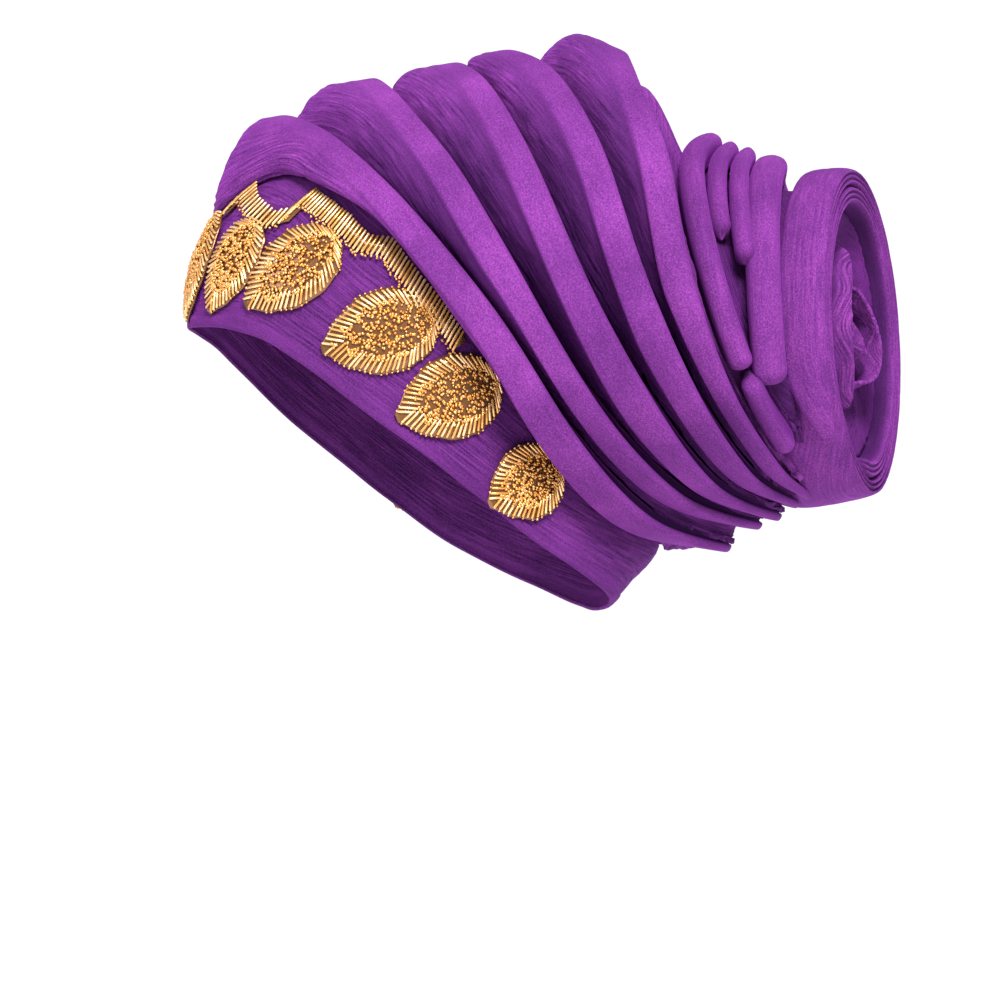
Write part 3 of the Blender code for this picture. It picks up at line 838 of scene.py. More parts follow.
def grid_faces(rows, columns, closed_along, closed_across):
    i = np.arange(rows if closed_along else rows - 1)[:, None]
    j = np.arange(columns if closed_across else columns - 1)[None, :]
    k, l = (i + 1) % rows, (j + 1) % columns
    faces = [i * columns + j, i * columns + l, k * columns + l, k * columns + j]
    return np.stack([np.broadcast_to(f, (i.size, j.size)) for f in faces], -1).reshape(-1, 4).tolist()


def between_rings(rings, sides, first=0):
    """Faces between rings of points, where the first ring starts at the point first."""
    return [(low + k, low + sides + k, low + sides + (k + 1) % sides, low + (k + 1) % sides)
            for low in range(first, first + (rings - 1) * sides, sides) for k in range(sides)]


def area_and_length(grid, closed_along, closed_across):
    """The area of a grid of points, and its mean length along."""
    along, across = steps_of(grid, 0, closed_along), steps_of(grid, 1, closed_across)
    area = np.linalg.norm(np.cross(along, across), axis=2).sum()
    return area, np.linalg.norm(along, axis=2).sum(axis=0).mean()


def cloth_piece(node, flat, out, weight, closed_along=False, closed_across=False,
                pole=None, caps=False, wall=WALL, deep=0.0, lie=None):
    """A piece of cloth that stands for a node: a grid of points, moved out by its relief.

    weight is how strongly crinkles show, as bumps and as painted shade in their grooves, deep the painted
    shade in its folds, and lie where its threads run.
    """
    rows, columns = flat.shape[:2]
    verts = (flat + normals(flat, closed_along, closed_across) * out[..., None]).reshape(-1, 3)
    faces = grid_faces(rows, columns, closed_along, closed_across)
    along, across = lay_of(flat)
    area, length = area_and_length(flat, closed_along, closed_across)
    lay = lie or (along * length, across)
    lay = np.stack([*lay, np.broadcast_to(weight, along.shape)], -1).reshape(-1, 3)
    shade = np.array(np.broadcast_to(deep, along.shape), float).ravel()
    if pole is not None:
        verts = np.concatenate([verts, [pole]])
        lay = np.concatenate([lay, [lay[-1]]])
        shade = np.append(shade, shade[-1])
        last = (rows - 1) * columns
        faces += [(last + j, last + (j + 1) % columns, len(verts) - 1) for j in range(columns)]
    if caps:
        faces += [tuple(reversed(range(columns))), tuple(range((rows - 1) * columns, rows * columns))]
    mesh = mesh_of(node + "_cloth", verts, faces)
    mesh.attributes.new("lay", "FLOAT_VECTOR", "POINT").data.foreach_set("vector", lay.ravel())
    # The deep attribute carries the painted shade to the material
    mesh.attributes.new("deep", "FLOAT", "POINT").data.foreach_set("value", shade)
    mesh.materials.append(CLOTH_LOOK)
    piece = added(node + "_cloth", mesh)
    if wall:
        shell = piece.modifiers.new("Wall", "SOLIDIFY")
        shell.thickness = wall
        shell.offset = -1
    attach(piece, "root")
    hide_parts(node)
    return piece


def ring_degrees():
    return [180 - 360 * station / STATIONS for station in range(STATIONS)]


def face_curve(start, way_out, end, way_in, reach):
    """A tier's rounded front face from start to end, as points of a curve with two handles."""
    far = (end - start).length
    first = start + way_out * far * reach[0]
    last = end - way_in * far * reach[1]
    points = []
    for u in FACE_POINTS:
        v = 1 - u
        points.append(start * v**3 + first * 3 * v * v * u + last * 3 * v * u * u + end * u**3)
    return points


def tier_section(ring, before, degrees):
    """One section of a tier, from its foot behind the tier before to its own rear foot."""
    here, out, rear = ring_frame(ring, degrees)
    strip = STRIP * smooth(STRIP_WIDTHS, degrees)
    if before is None:
        start, way_out = brow_start(degrees)
    else:
        start, way_out = valley_seat(before, degrees)
        strip = min(strip, STRIP_SHARE * (here - ring_point(before, degrees)).dot(rear))
    edge = rolled_edge(here, out, rear, strip, valley_depth(ring, degrees))
    rise = smooth(FACE_RISE, degrees)
    if before is None:
        rise *= 1 + FRONT_FULLNESS * max(0.0, math.cos(math.radians(degrees))) ** 3
    reach = (rise, smooth(FACE_REACH, degrees))
    turn = math.radians(smooth(FACE_TURN, degrees))
    way_in = rear * math.cos(turn) + out * math.sin(turn)
    return [start, *face_curve(start, way_out, edge[0], way_in, reach), *edge]


def tier_piece(name, before, seed):
    """A tier of the fan: a crinkled face, then its smooth strip and the wall behind it."""
    rows = points_of([[turned(p) for p in tier_section(name, before, d)] for d in ring_degrees()])
    flat = through(evened(rows, TIER_SMOOTHING), TIER_STEPS)
    along, across = lay_of(flat)
    place = columns_of(flat) - FACE_COLUMNS
    face = 1 - ease(*CRINKLES_FADE, place)
    inner = 1 - ease(-FACE_COLUMNS, 0, place)
    groove = crinkles(along, across, seed) * face * (TIER_CRINKLE + TIER_CRINKLE * inner)
    groove = groove + STRIP_STEP * (1 - ease(*STEP_ENDS, place)) * ease(*STEP_STARTS, place)
    swell = swells(along, across, seed, *TIER_SWELLS) * TIER_SWELL
    swell = swell * (STRIP_SWELL + (1 - STRIP_SWELL) * face)
    # Painted shade: the face is darkest at its foot deep in the valley and lighter toward the strip, the
    # fan's top and its bottom, with less on the first tier, and the wall behind the strip gets full
    # painted shade
    turn = np.abs(1 - 2 * along) * 180
    shade = TOP_SHADE + (1 - TOP_SHADE) * ease(*TOP_ENDS, turn)
    shade = shade * (1 - BOTTOM_LIGHT * ease(*BOTTOM_STARTS, turn))
    shade = shade * (1 - ease(*FACE_ENDS, place)) * (1 - BROW_LIGHT * ease(*BROW_STARTS, place))
    deep = np.maximum(shade * (1.0 if before else FIRST_TIER_SHADE), ease(*WALL_DARKENS, place))
    cloth_piece(name, flat, swell - groove, STRIP_TONE + (1 - STRIP_TONE) * face,
                closed_along=True, deep=deep)


def gather_piece(seed):
    """The crumpled cloth behind the last tier, in to the rosette's coil."""
    rows = []
    for degrees in ring_degrees():
        start, way = valley_seat("tier_5", degrees)
        seats = [*seats_below("pleat_a", degrees), *seats_below("pleat_c", degrees)]
        swell = start + way * (seats[0] - start).length * smooth(GATHER_SWELL, degrees)
        mouth = [coil_point(degrees, radius, back) for radius, back in COIL_MOUTH]
        rows.append([turned(p) for p in (start, swell, *seats, *mouth)])
    flat = through(evened(points_of(rows), GATHER_SMOOTHING), GATHER_STEPS)
    along, across = lay_of(flat)
    top = ease(*RIBS_START, np.abs(along - 0.5) * -2 + 1)
    ribs = crinkles(along * RIB_TURNS % 1, across * RIB_SQUEEZE, seed, cells=40)
    lines = crinkles(along, across, seed + 20)
    groove = ribs * top * RIB_DEPTH + lines * (1 - RIBS_HIDE * top) * LINE_DEPTH
    swell = swells(along, across, seed, *GATHER_SWELLS) * GATHER_WAVE
    # Painted shade: a little over all the gathered cloth, and more toward the coil's mouth
    deep = GATHER_SHADE + MOUTH_SHADE * ease(*MOUTH_STARTS, columns_of(flat))
    cloth_piece("back_gather", flat, swell - groove, 1.0,
                closed_along=True, deep=deep)


def pleat_piece(name, seed):
    """A pleat that stands by itself, rounded off at both its ends."""
    ring, width, first, last = PLEATS[name]
    count = max(LEAST_PLEAT_STATIONS, round(abs(last - first) * PLEAT_STATIONS_PER_DEGREE))
    turns = np.linspace(last, first, count)
    rows = points_of([[turned(p) for p in pleat_section(ring, width, d)] for d in turns])
    flat = through(rows, PLEAT_STEPS)
    seat = (flat[:, :1] + flat[:, -1:]) / 2
    run = run_along(seat[:, 0])
    to_end = np.minimum(run, run[-1] - run)
    bend = 1 - (1 - np.minimum(to_end / (width * PLEAT_END), 1)) ** 2
    full = np.sqrt(np.clip(bend, 0, 1)) * (1 - PLEAT_TIP) + PLEAT_TIP
    flat = seat + (flat - seat) * full[:, None, None]
    along, across = lay_of(flat)
    groove = crinkles(along, across, seed, cells=9, fineness=300) * PLEAT_CRINKLE
    # Painted shade at both feet of the pleat, down in the valleys beside it
    place, last_column = columns_of(flat), flat.shape[1] - 1
    low, high = PLEAT_SIDES
    sides = np.maximum(1 - ease(low, high, place), ease(last_column + 1 - high, last_column - low, place))
    cloth_piece(name, flat, -groove, PLEAT_TONE, deep=PLEAT_SHADE * sides)


def even_hem(degrees):
    """The hem's height, with the small steps of its table smoothed away."""
    reach = HEM_SMOOTHING_STEPS
    steps = range(-reach, reach + 1)
    return sum(hem_height(degrees + HEM_SMOOTHING * step) for step in steps) / len(steps)


def cap_piece(seed):
    """The cap, from its rolled hem up to the crown."""
    turns = [360 * column / STATIONS for column in range(STATIONS)]
    hems = [even_hem(degrees) for degrees in turns]
    rows = [[on_cap(degrees, hem + up, HEM_ROLL * roll) for degrees, hem in zip(turns, hems)]
            for up, roll in HEM_ROWS]
    for i in range(CAP_RISE_ROWS):
        risen = math.sin(math.pi / 2 * (i / CAP_RISE_ROWS) ** CAP_ROW_SPREAD)
        row = []
        for degrees, hem in zip(turns, hems):
            start = hem + HEM_DEPTH * CAP_START
            row.append(cap_point(degrees, min(start + (CLOTH - start) * risen, CLOTH - CROWN_FLAT)))
        rows.append(row)
    flat = points_of(rows)
    turn = round_of(flat)
    above = flat[..., 2] - np.array(hems)[None, :]
    free = ease(*HEM_ENDS, above) * (1 - ease(*CROWN_STARTS, flat[..., 2]))
    groove = crinkles(turn, above, seed, cells=22, fineness=210, sway=0.006) * CAP_CRINKLE
    swell = swells(turn, above, seed, *CAP_SWELLS) * CAP_SWELL
    round_cap = 2 * math.pi * (HEAD_WIDTH + HEAD_LENGTH) / 4
    # An even painted shade over the whole cap
    cloth_piece("under_cap", flat, (swell - groove) * free, HEM_TONE + (1 - HEM_TONE) * free,
                closed_across=True, pole=(0.0, -HEAD_BACK_SHIFT, CLOTH),
                deep=CAP_SHADE, lie=(turn * round_cap, above))


def coil_piece(seed):
    """The rosette's wound band, with a pointed outer end and a foot that spreads toward the fan."""
    rows = []
    for i in range(COIL_STATIONS + 1):
        along = COIL_SWEEP * i / COIL_STATIONS
        centre = coil_centre(along)
        full = COIL_END + (1 - COIL_END) * math.sin(math.pi / 2 * min(1.0, along / COIL_TIP))
        spread = COIL_SPREAD * float(ease(0, 1, 1 - abs(along - COIL_SPREAD_AT) / COIL_SPREAD_REACH))
        row = []
        for wide, thick in COIL_SECTION:
            radius = centre + thick * COIL_LAYER / 2 * (COIL_END_LAYER + (1 - COIL_END_LAYER) * full)
            radius += spread * COIL_FLARE * (1 - wide) / 2
            back = wide * full * COIL_WIDTH / 2 + (1 - full) * COIL_WIDTH * COIL_END_BACK
            back -= (spread + COIL_FORWARD) * (1 - wide) / 2
            row.append(on_rosette(COIL_START - along, radius, back))
        rows.append(row)
    flat = through(points_of(rows), COIL_STEPS, closed=True)
    along, across = lay_of(flat)
    groove = crinkles(along, across, seed, cells=30, fineness=420, sway=0.002) * COIL_CRINKLE
    # Painted shade on the coil's inner face, at its edge toward the fan and along two creases of its
    # layered rear edge
    place = columns_of(flat)
    deep = ease(*COIL_INSIDE, place) * COIL_INSIDE_SHADE + COIL_EDGE_SHADE * (1 - ease(0, 3, place))
    for crease in COIL_CREASES:
        deep = deep + COIL_CREASE_SHADE * (1 - ease(0, COIL_CREASE_REACH, np.abs(place - crease)))
    cloth_piece("rosette_coil", flat, -groove, COIL_TONE,
                closed_across=True, caps=True, wall=0, deep=deep)


def core_piece(seed):
    """The crumpled cloth that closes the rosette."""
    shares = np.linspace(CORE_EDGE, CORE_LEAST, CORE_ROWS)
    turns = [360 * column / CORE_SIDES for column in range(CORE_SIDES)]
    flat = points_of([[on_rosette(degrees, share * core_radius(), core_height(share, degrees))
                       for degrees in turns] for share in shares])
    share = np.repeat(shares[:, None], CORE_SIDES, axis=1)
    twist = round_of(flat) + share * CORE_CRINKLE_TWIST
    groove = crinkles(twist, share * CORE_SQUEEZE, seed, cells=46, fineness=120, sway=0.004)
    groove = groove * CORE_CRINKLE * ease(0.0, 0.2, share)
    pole = tuple(on_rosette(0.0, 0.0, core_height(0.0, 0.0)))
    # Painted shade over the rosette's middle, darker toward the coil round it
    cloth_piece("rosette_core", flat, -groove, 1.0,
                closed_across=True, pole=pole, deep=CORE_SHADE + CORE_EDGE_SHADE * share)


def flap_piece(name, seed):
    """A ruffled flap that stands in the rosette's middle, with a level top edge."""
    share, first, last, height, ruffles, seat = CORE_FLAPS[name]
    around = range(FLAP_LEVELS + 1)
    feet = [core_height(share, first + (last - first) * k / FLAP_LEVELS) for k in around]
    level = sum(feet) / len(feet) + seat
    rows = []
    for i in range(FLAP_STATIONS + 1):
        u = i / FLAP_STATIONS
        degrees = last + (first - last) * u
        foot = core_height(share, degrees) + seat
        rise = height * (FLAP_ENDS + (1 - FLAP_ENDS) * math.sin(math.pi * u) ** FLAP_ROUNDNESS)
        row = []
        for step in range(FLAP_ROWS + 1):
            up = step / FLAP_ROWS
            wave = FLAP_RUFFLE * math.sin(ruffles * 2 * math.pi * u) * up
            radius = share * core_radius() - wave - up * rise * FLAP_LEAN
            row.append(on_rosette(degrees, radius, foot + (level - foot) * up + rise * up))
        rows.append(row)
    flat = points_of(rows)
    along, across = lay_of(flat)
    groove = crinkles(across * 30 % 1, along * CORE_SQUEEZE, seed, cells=20, fineness=420) * FLAP_CRINKLE
    # Painted shade at the flap's foot, fading toward its top edge
    high = np.linspace(0, 1, flat.shape[1])[None, :]
    cloth_piece(name, flat, -groove, 1.0,
                deep=FLAP_SHADE * (1 - ease(*FLAP_LIGHTENS, high)))


class Beads:
    """Beads gathered into one mesh, each with a tone."""

    def __init__(self, seed):
        self.random = np.random.default_rng(seed)
        self.verts = []
        self.faces = []
        self.tones = []

    def add(self, verts, faces, tone):
        start = len(self.verts)
        self.verts += [tuple(p) for p in verts]
        self.faces += [tuple(start + i for i in face) for face in faces]
        self.tones += [tone] * len(verts)

    def bugle(self, a, b, normal, tone):
        """A long bead from a to b."""
        way = (b - a).normalized()
        side = way.cross(normal).normalized()
        up = side.cross(way)
        verts = []
        for far, wide in BUGLE_ENDS:
            for k in range(BUGLE_SIDES):
                turn = 2 * math.pi * (k + 0.5) / BUGLE_SIDES
                off = side * math.cos(turn) + up * math.sin(turn)
                verts.append(a.lerp(b, far) + off * BUGLE_RADIUS * wide)
        faces = between_rings(len(BUGLE_ENDS), BUGLE_SIDES)
        faces.append(tuple(range(BUGLE_SIDES)))
        faces.append(tuple(reversed(range(len(verts) - BUGLE_SIDES, len(verts)))))
        self.add(verts, faces, tone)

    def seed_bead(self, centre, radius, tone):
        """A small round bead, tilted and squashed a little."""
        tilt = self.random.uniform(0, math.pi, 3)
        squash = self.random.uniform(*SEED_SQUASH, 3)
        turn = Matrix.Rotation(tilt[0], 3, "X") @ Matrix.Rotation(tilt[1], 3, "Y")
        sides = SEED_SIDES
        verts = [Vector((0, 0, 1))]
        for band in range(1, SEED_BANDS):
            rise = math.pi * band / SEED_BANDS
            for k in range(sides):
                round_turn = 2 * math.pi * k / sides
                verts.append(Vector((math.sin(rise) * math.cos(round_turn),
                                     math.sin(rise) * math.sin(round_turn), math.cos(rise))))
        verts.append(Vector((0, 0, -1)))
        faces = [(0, 1 + k, 1 + (k + 1) % sides) for k in range(sides)]
        faces += between_rings(SEED_BANDS - 1, sides, first=1)
        end = len(verts) - 1
        low = end - sides
        faces += [(end, low + (k + 1) % sides, low + k) for k in range(sides)]
        placed = [centre + turn @ Vector([p[i] * squash[i] for i in range(3)]) * radius for p in verts]
        self.add(placed, faces, tone)

    def slab(self, top, bottom, tone):
        """A thin plate between two grids of points."""
        rows, columns = len(top), len(top[0])
        verts = [p for row in top for p in row] + [p for row in bottom for p in row]
        under = rows * columns
        faces = []
        for i in range(rows - 1):
            for j in range(columns - 1):
                low, high = i * columns + j, (i + 1) * columns + j
                quad = (low, low + 1, high + 1, high)
                faces.append(quad)
                faces.append(tuple(under + q for q in reversed(quad)))
        rim = list(range(columns))
        rim += [(i + 1) * columns - 1 for i in range(1, rows)]
        rim += [(rows - 1) * columns + j for j in range(columns - 2, -1, -1)]
        rim += [i * columns for i in range(rows - 2, 0, -1)]
        for here, there in zip(rim, rim[1:] + rim[:1]):
            faces.append((there, here, under + here, under + there))
        self.add(verts, faces, tone)

    def piece(self, node, side):
        """The beads as one piece that stands for a node, mirrored where side is -1."""
        verts = np.array(self.verts)
        faces = self.faces
        if side < 0:
            verts = verts * np.array([-1, 1, 1])
            faces = [tuple(reversed(face)) for face in faces]
        mesh = mesh_of(node + "_beads", verts, faces)
        mesh.attributes.new("tone", "FLOAT", "POINT").data.foreach_set("value", self.tones)
        mesh.materials.append(BEAD_LOOK)
        piece = added(node + "_beads", mesh)
        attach(piece, "root")
        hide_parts(node)


def leaf_half(far):
    (wide,) = between(LEAF_ROWS, min(1.0, max(0.0, far)))
    return wide


def leaf_piece(name, base, tip, width, seat, side, seed):
    """A leaf of long beads round a heart of seed beads, on a thin backing."""
    beads = Beads(seed)
    along = (tip[0] - base[0], tip[1] - base[1])
    round_step, up_step = cap_step(base[0] + along[0] / 2, base[1] + along[1] / 2)
    length = math.hypot(along[0] * round_step, along[1] * up_step)
    back = LEAF_LONGER / length
    base = (base[0] - along[0] * back, base[1] - along[1] * back)
    along = (tip[0] - base[0], tip[1] - base[1])
    length += LEAF_LONGER
    half = LEAF_WIDTH / 2 * width * LEAF_FULLNESS

    def place(x, y, out):
        """A point of the leaf: so far from its base, so far across and so far out, in metres."""
        far = x / length
        return beyond(base[0] + along[0] * far, base[1] + along[1] * far, along, y, seat + out)

    rows, columns = LEAF_GRID
    grids = []
    for out in (BACKING, 0.0):
        grid = []
        for i in range(rows):
            far = i / (rows - 1)
            wide = half * leaf_half(far) + LEAF_MARGIN
            shares = [2 * j / (columns - 1) - 1 for j in range(columns)]
            grid.append([place(far * length, wide * share, out) for share in shares])
        grids.append(grid)
    beads.slab(grids[0], grids[1], 0.0)

    fars = np.linspace(0.0, LEAF_END, 400)
    edge = np.array([[far * length, half * leaf_half(far)] for far in fars])
    run = run_along(edge)
    count = int(run[-1] / BUGLE_PITCH)
    stops = [run[-1] * (k + 0.3) / (count + 0.6) for k in range(count + 1)]
    outline = [(np.interp(at, run, edge[:, 0]), np.interp(at, run, edge[:, 1])) for at in stops]
    axis_out = BACKING + BUGLE_RADIUS * BUGLE_SEAT
    normal = cap_normal(base[0] + along[0] / 2, base[1] + along[1] / 2)
    for x, y in outline:
        slant = math.radians(BASE_SLANT - SLANT_LOSS * (x / length))
        long = min(LEAF_BUGLE, y / max(LEAST_SLANT, math.sin(slant)) * BUGLE_REACH + LEAST_BUGLE)
        for hand in (-1, 1):
            slip = beads.random.uniform(-BUGLE_SLIP, BUGLE_SLIP)
            a = (x + slip, hand * y * BUGLE_INSET)
            b = (x + slip - math.cos(slant) * long, hand * (y - math.sin(slant) * long))
            if b[0] < 0:
                b = (LEAF_MARGIN, b[1])
            tone = beads.random.uniform(*LEAF_BUGLE_TONES)
            beads.bugle(place(*a, axis_out), place(*b, axis_out + 0.0001), normal, tone)
            if beads.random.uniform() < RIM_SEEDS:
                beads.seed_bead(place(x, hand * (y + LEAF_MARGIN), axis_out - 0.0002), SEED_RADIUS * 0.75,
                                beads.random.uniform(*RIM_SEED_TONES))
    seeds = 0
    tries = 0
    while seeds < CORE_SEEDS and tries < MOST_TRIES:
        tries += 1
        x = beads.random.uniform(0.01, 0.9) * length
        y = beads.random.uniform(-1, 1) * half
        room = half * leaf_half(x / length) - LEAF_BUGLE * BUGLE_COVER
        if abs(y) > max(LEAST_HEART, room) or (x > HEART_END * length and abs(y) > TIP_HEART):
            continue
        out = BACKING + beads.random.uniform(*SEED_HEAP) * SEED_RADIUS
        size = SEED_RADIUS * beads.random.uniform(*SEED_SIZES)
        beads.seed_bead(place(x, y, out), size, beads.random.uniform(*SEED_TONES))
        seeds += 1
    beads.piece(name, side)


def stem_piece(name, side, seed):
    """A zigzag row of long beads that lean one way, on a thin backing with seed beads below it."""
    beads = Beads(seed)
    line = [(degrees, height * FAN_HEIGHT) for degrees, height in STEM_LINE]
    if side < 0:
        line = line[RIGHT_STEM_START:]
    grids = []
    for out in (BACKING, 0.0):
        grid = []
        for i, (degrees, z) in enumerate(line):
            before = line[max(0, i - 1)]
            after = line[min(len(line) - 1, i + 1)]
            along = (after[0] - before[0], after[1] - before[1])
            grid.append([beyond(degrees, z, along, STEM_WIDTH / 2 * j * STEM_BACKING, STEM_SEAT + out)
                         for j in (-1, 0, 1)])
        grids.append(grid)
    beads.slab(grids[0], grids[1], 0.0)
    spots = []
    for (d0, z0), (d1, z1) in zip(line, line[1:]):
        round_step, up_step = cap_step((d0 + d1) / 2, (z0 + z1) / 2)
        long = math.hypot((d1 - d0) * round_step, (z1 - z0) * up_step)
        count = max(1, round(long / STEM_PITCH / (STEM_FRONT_PITCH if d0 < STEM_FRONT else 1)))
        spots += [(d0 + (d1 - d0) * k / count, z0 + (z1 - z0) * k / count) for k in range(count)]
    axis_out = STEM_SEAT + BACKING + BUGLE_RADIUS * BUGLE_SEAT
    for degrees, z in spots:
        round_step, up_step = cap_step(degrees, z)
        half = STEM_BUGLE / 2 * beads.random.uniform(*STEM_BUGLE_SIZES)
        aside = math.cos(STEM_LEAN) * half / round_step
        rise = math.sin(STEM_LEAN) * half / up_step
        a = on_cap(degrees - aside, z - rise, axis_out)
        b = on_cap(degrees + aside, z + rise, axis_out)
        beads.bugle(a, b, cap_normal(degrees, z), beads.random.uniform(*STEM_BUGLE_TONES))
        for _ in range(STEM_SEEDS):
            drift = beads.random.uniform(-STEM_SEED_DRIFT, STEM_SEED_DRIFT, 2)
            low = on_cap(degrees - aside * 1.1 + drift[0] / round_step, z - rise * 1.12 + drift[1],
                         axis_out - 0.0003)
            beads.seed_bead(low, SEED_RADIUS * 0.85, beads.random.uniform(*STEM_SEED_TONES))
    beads.piece(name, side)


def beadwork():
    for number, (name, base_at, base_up, tip_at, tip_up, width, seat) in enumerate(LEAVES):
        base = (base_at, base_up * FAN_HEIGHT - LEAF_DROP)
        tip = (tip_at, tip_up * FAN_HEIGHT - LEAF_DROP)
        seed = 510 + 10 * number
        leaf_piece(name, base, tip, width, seat, 1, seed)
        if "left" in name:
            leaf_piece(name.replace("left", "right"), base, tip, width, seat, -1, seed + 5)
    stem_piece("stem_left", 1, 700)
    stem_piece("stem_right", -1, 710)


class Look:
    """A material whose nodes are made and joined by name."""

    def __init__(self, name):
        self.made = bpy.data.materials.new(name)
        self.made.use_nodes = True
        self.tree = self.made.node_tree
        self.shader = self.tree.nodes["Principled BSDF"]

    def node(self, kind, values=None, links=None, **settings):
        made = self.tree.nodes.new(kind)
        for key, value in settings.items():
            setattr(made, key, value)
        for key, value in (values or {}).items():
            made.inputs[key].default_value = value
        for key, source in (links or {}).items():
            self.tree.links.new(source, made.inputs[key])
        return made

    def maths(self, operation, a, b, clamp=False):
        made = self.node("ShaderNodeMath", operation=operation, use_clamp=clamp)
        for socket, value in zip(made.inputs, (a, b)):
            if isinstance(value, (int, float)):
                socket.default_value = value
            else:
                self.tree.links.new(value, socket)
        return made.outputs[0]

    def varied(self, factor, strength):
        """How far noise is from its middle, so strongly."""
        return self.maths("MULTIPLY", self.maths("SUBTRACT", factor, 0.5), strength)

    def noise(self, vector, scale, detail, roughness=0.5):
        made = self.node("ShaderNodeTexNoise", {"Scale": scale, "Detail": detail, "Roughness": roughness},
                         {"Vector": vector})
        return made.outputs["Fac"]

    def ramp(self, factor, stops):
        made = self.node("ShaderNodeValToRGB", links={"Fac": factor})
        for i, (at, colour) in enumerate(stops):
            stop = made.color_ramp.elements[i] if i < 2 else made.color_ramp.elements.new(at)
            stop.position = at
            stop.color = (*colour, 1)
        return made.outputs["Color"]

    def bump(self, height, distance, strength, below=None):
        links = {"Height": height}
        if below is not None:
            links["Normal"] = below
        made = self.node("ShaderNodeBump", {"Distance": distance, "Strength": strength}, links)
        return made.outputs["Normal"]

    def set(self, **values):
        for key, value in values.items():
            self.shader.inputs[key.replace("_", " ")].default_value = value

    def join(self, output, key):
        self.tree.links.new(output, self.shader.inputs[key])


def cloth_look():
    """Crinkled purple cloth with a soft nap, with painted shade in its folds and in its crinkles' grooves.
    """
    look = Look("gele_cloth")
    place = look.node("ShaderNodeTexCoord").outputs["Object"]
    lay = look.node("ShaderNodeAttribute", attribute_name="lay").outputs["Vector"]
    weight = look.node("ShaderNodeSeparateXYZ", links={"Vector": lay}).outputs["Z"]
    deep = look.node("ShaderNodeAttribute", attribute_name="deep").outputs["Fac"]
    long_way = look.node("ShaderNodeMapping", {"Scale": CRINKLE_SCALE}, {"Vector": lay}).outputs[0]
    crinkle = look.noise(long_way, 1.0, 4.0, 0.6)
    threads = look.node("ShaderNodeMapping", {"Scale": THREAD_SCALE}, {"Vector": lay}).outputs[0]
    weave = look.noise(threads, 1.0, 2.0)
    fuzz = look.noise(place, FUZZ_SCALE, 2.0, 0.7)
    patch = look.noise(place, PATCH_SCALE, 3.0)
    # The crinkles' tone is painted shade in their grooves, as strong as the weight; the fuzz and the
    # patches vary the tone at random
    tone = look.varied(crinkle, look.maths("MULTIPLY", weight, CRINKLE_GROOVE_SHADE))
    tone = look.maths("ADD", tone, look.varied(fuzz, FUZZ_VARIES))
    tone = look.maths("ADD", tone, look.varied(patch, PATCH_VARIES))
    tone = look.maths("ADD", tone, 0.5, clamp=True)
    # Painted shade: the base colour is darkened where the deep attribute is high
    painted_shade_factor = look.maths("SUBTRACT", 1.0, look.maths("MULTIPLY", deep, PAINTED_SHADE_STRENGTH))
    look.join(look.ramp(look.maths("MULTIPLY", tone, painted_shade_factor), CLOTH_COLOURS), "Base Color")
    folds = look.bump(look.maths("MULTIPLY", crinkle, weight), 0.0010, 0.7)
    knit = look.bump(weave, 0.0003, 0.35, folds)
    look.join(look.bump(fuzz, 0.0003, 0.45, knit), "Normal")
    look.set(Roughness=0.85, Specular_IOR_Level=0.04, Sheen_Weight=0.14, Sheen_Roughness=0.45,
             Sheen_Tint=(0.56, 0.07, 0.82, 1))
    return look.made


def bead_look():
    """Gold beads from bronze to pale, and the brown backing at tone 0."""
    look = Look("gold_beads")
    place = look.node("ShaderNodeTexCoord").outputs["Object"]
    tone = look.node("ShaderNodeAttribute", attribute_name="tone").outputs["Fac"]
    fine_noise = look.noise(place, BEAD_SCALE, 2.0)
    shade = look.maths("ADD", tone, look.varied(fine_noise, BEAD_VARIES), clamp=True)
    look.join(look.ramp(shade, BEAD_COLOURS), "Base Color")
    look.join(look.bump(fine_noise, 0.0002, 0.25), "Normal")
    look.set(Metallic=0.6, Roughness=0.26, Specular_IOR_Level=0.6)
    return look.made


def aimed(name, data, azimuth, elevation, distance):
    """A camera or lamp that looks at the part from so far away, its angles in degrees."""
    turn, rise = math.radians(azimuth), math.radians(elevation)
    way = Vector((math.sin(turn) * math.cos(rise), -math.cos(turn) * math.cos(rise), math.sin(rise)))
    holder = added(name, data)
    holder.location = AIM + way * distance
    holder.rotation_euler = (-way).to_track_quat("-Z", "Y").to_euler()
    return holder


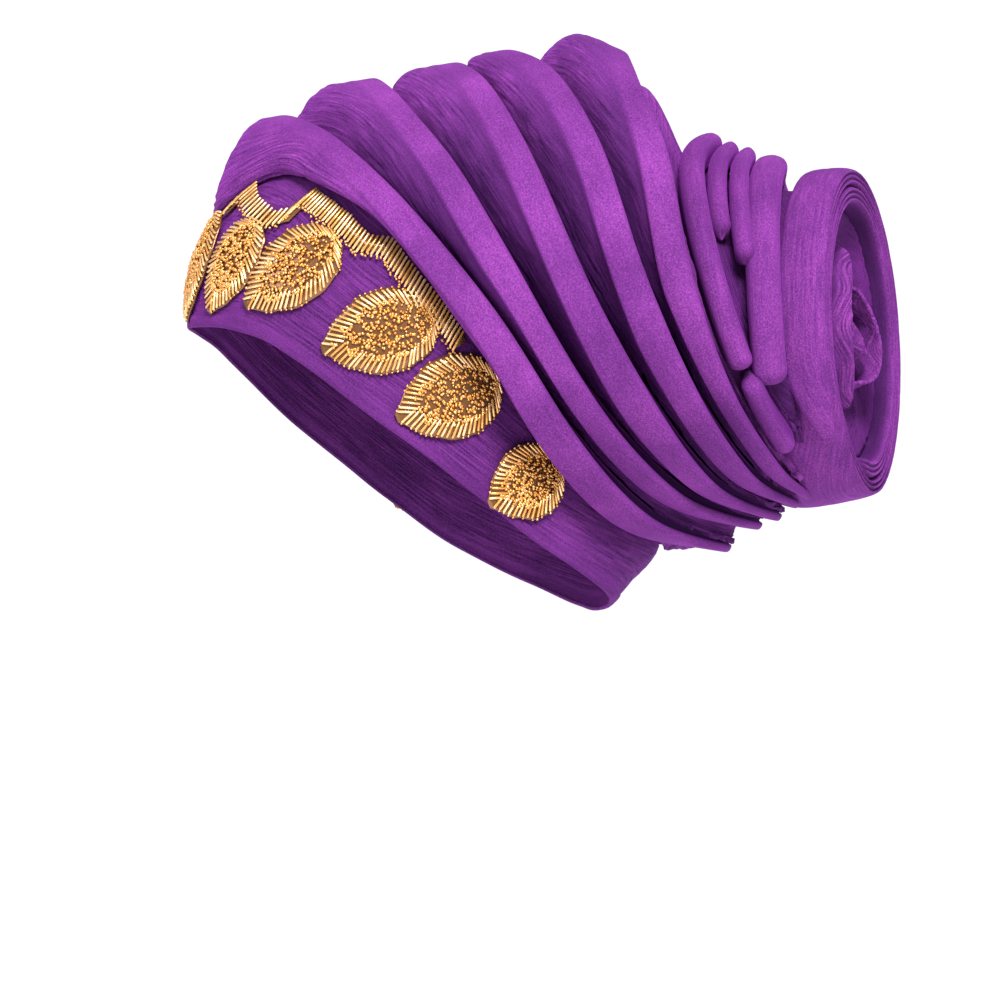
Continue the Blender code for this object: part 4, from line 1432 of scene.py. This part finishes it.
def pale_floor():
    turns = [2 * math.pi * k / FLOOR_SIDES for k in range(FLOOR_SIDES)]
    verts = [(0, 0, FLOOR_DROP)]
    verts += [(FLOOR_RADIUS * math.cos(turn), FLOOR_RADIUS * math.sin(turn), FLOOR_DROP) for turn in turns]
    faces = [(0, 1 + k, 1 + (k + 1) % FLOOR_SIDES) for k in range(FLOOR_SIDES)]
    look = Look("pale_floor")
    place = look.node("ShaderNodeTexCoord").outputs["Object"]
    grain = look.noise(place, 3.0, 2.0)
    look.join(look.ramp(grain, FLOOR_COLOURS), "Base Color")
    look.set(Roughness=0.9, Specular_IOR_Level=0.0)
    mesh = mesh_of("floor", verts, faces)
    mesh.materials.append(look.made)
    added("floor", mesh)


def studio_light():
    world = bpy.data.worlds.new("studio")
    world.use_nodes = True
    background = world.node_tree.nodes["Background"]
    background.inputs["Color"].default_value = (1, 1, 1, 1)
    background.inputs["Strength"].default_value = 1.1
    bpy.context.scene.world = world
    for name, azimuth, elevation, distance, size, watts, colour in LAMPS:
        lamp = bpy.data.lights.new(name, "AREA")
        lamp.shape = "DISK"
        lamp.size = size
        lamp.energy = watts
        lamp.color = colour
        aimed(name, lamp, azimuth, elevation, distance)


def camera():
    lens = bpy.data.cameras.new("camera")
    lens.lens = CAMERA_LENS
    lens.sensor_width = CAMERA_SENSOR
    bpy.context.scene.camera = aimed("camera", lens, CAMERA_AZIMUTH, 0, CAMERA_DISTANCE)


CLOTH_LOOK = cloth_look()
BEAD_LOOK = bead_look()
cap_piece(100)
tiers = ("tier_1", "tier_2", "tier_3", "tier_4", "tier_5")
for number, (before, tier) in enumerate(zip((None, *tiers), tiers)):
    tier_piece(tier, before, 110 + 10 * number)
gather_piece(170)
for number, pleat in enumerate(PLEATS):
    pleat_piece(pleat, 200 + 10 * number)
coil_piece(300)
core_piece(320)
for number, flap in enumerate(CORE_FLAPS):
    flap_piece(flap, 340 + 10 * number)
beadwork()
pale_floor()
studio_light()
camera()
bpy.context.scene.view_settings.view_transform = "Standard"
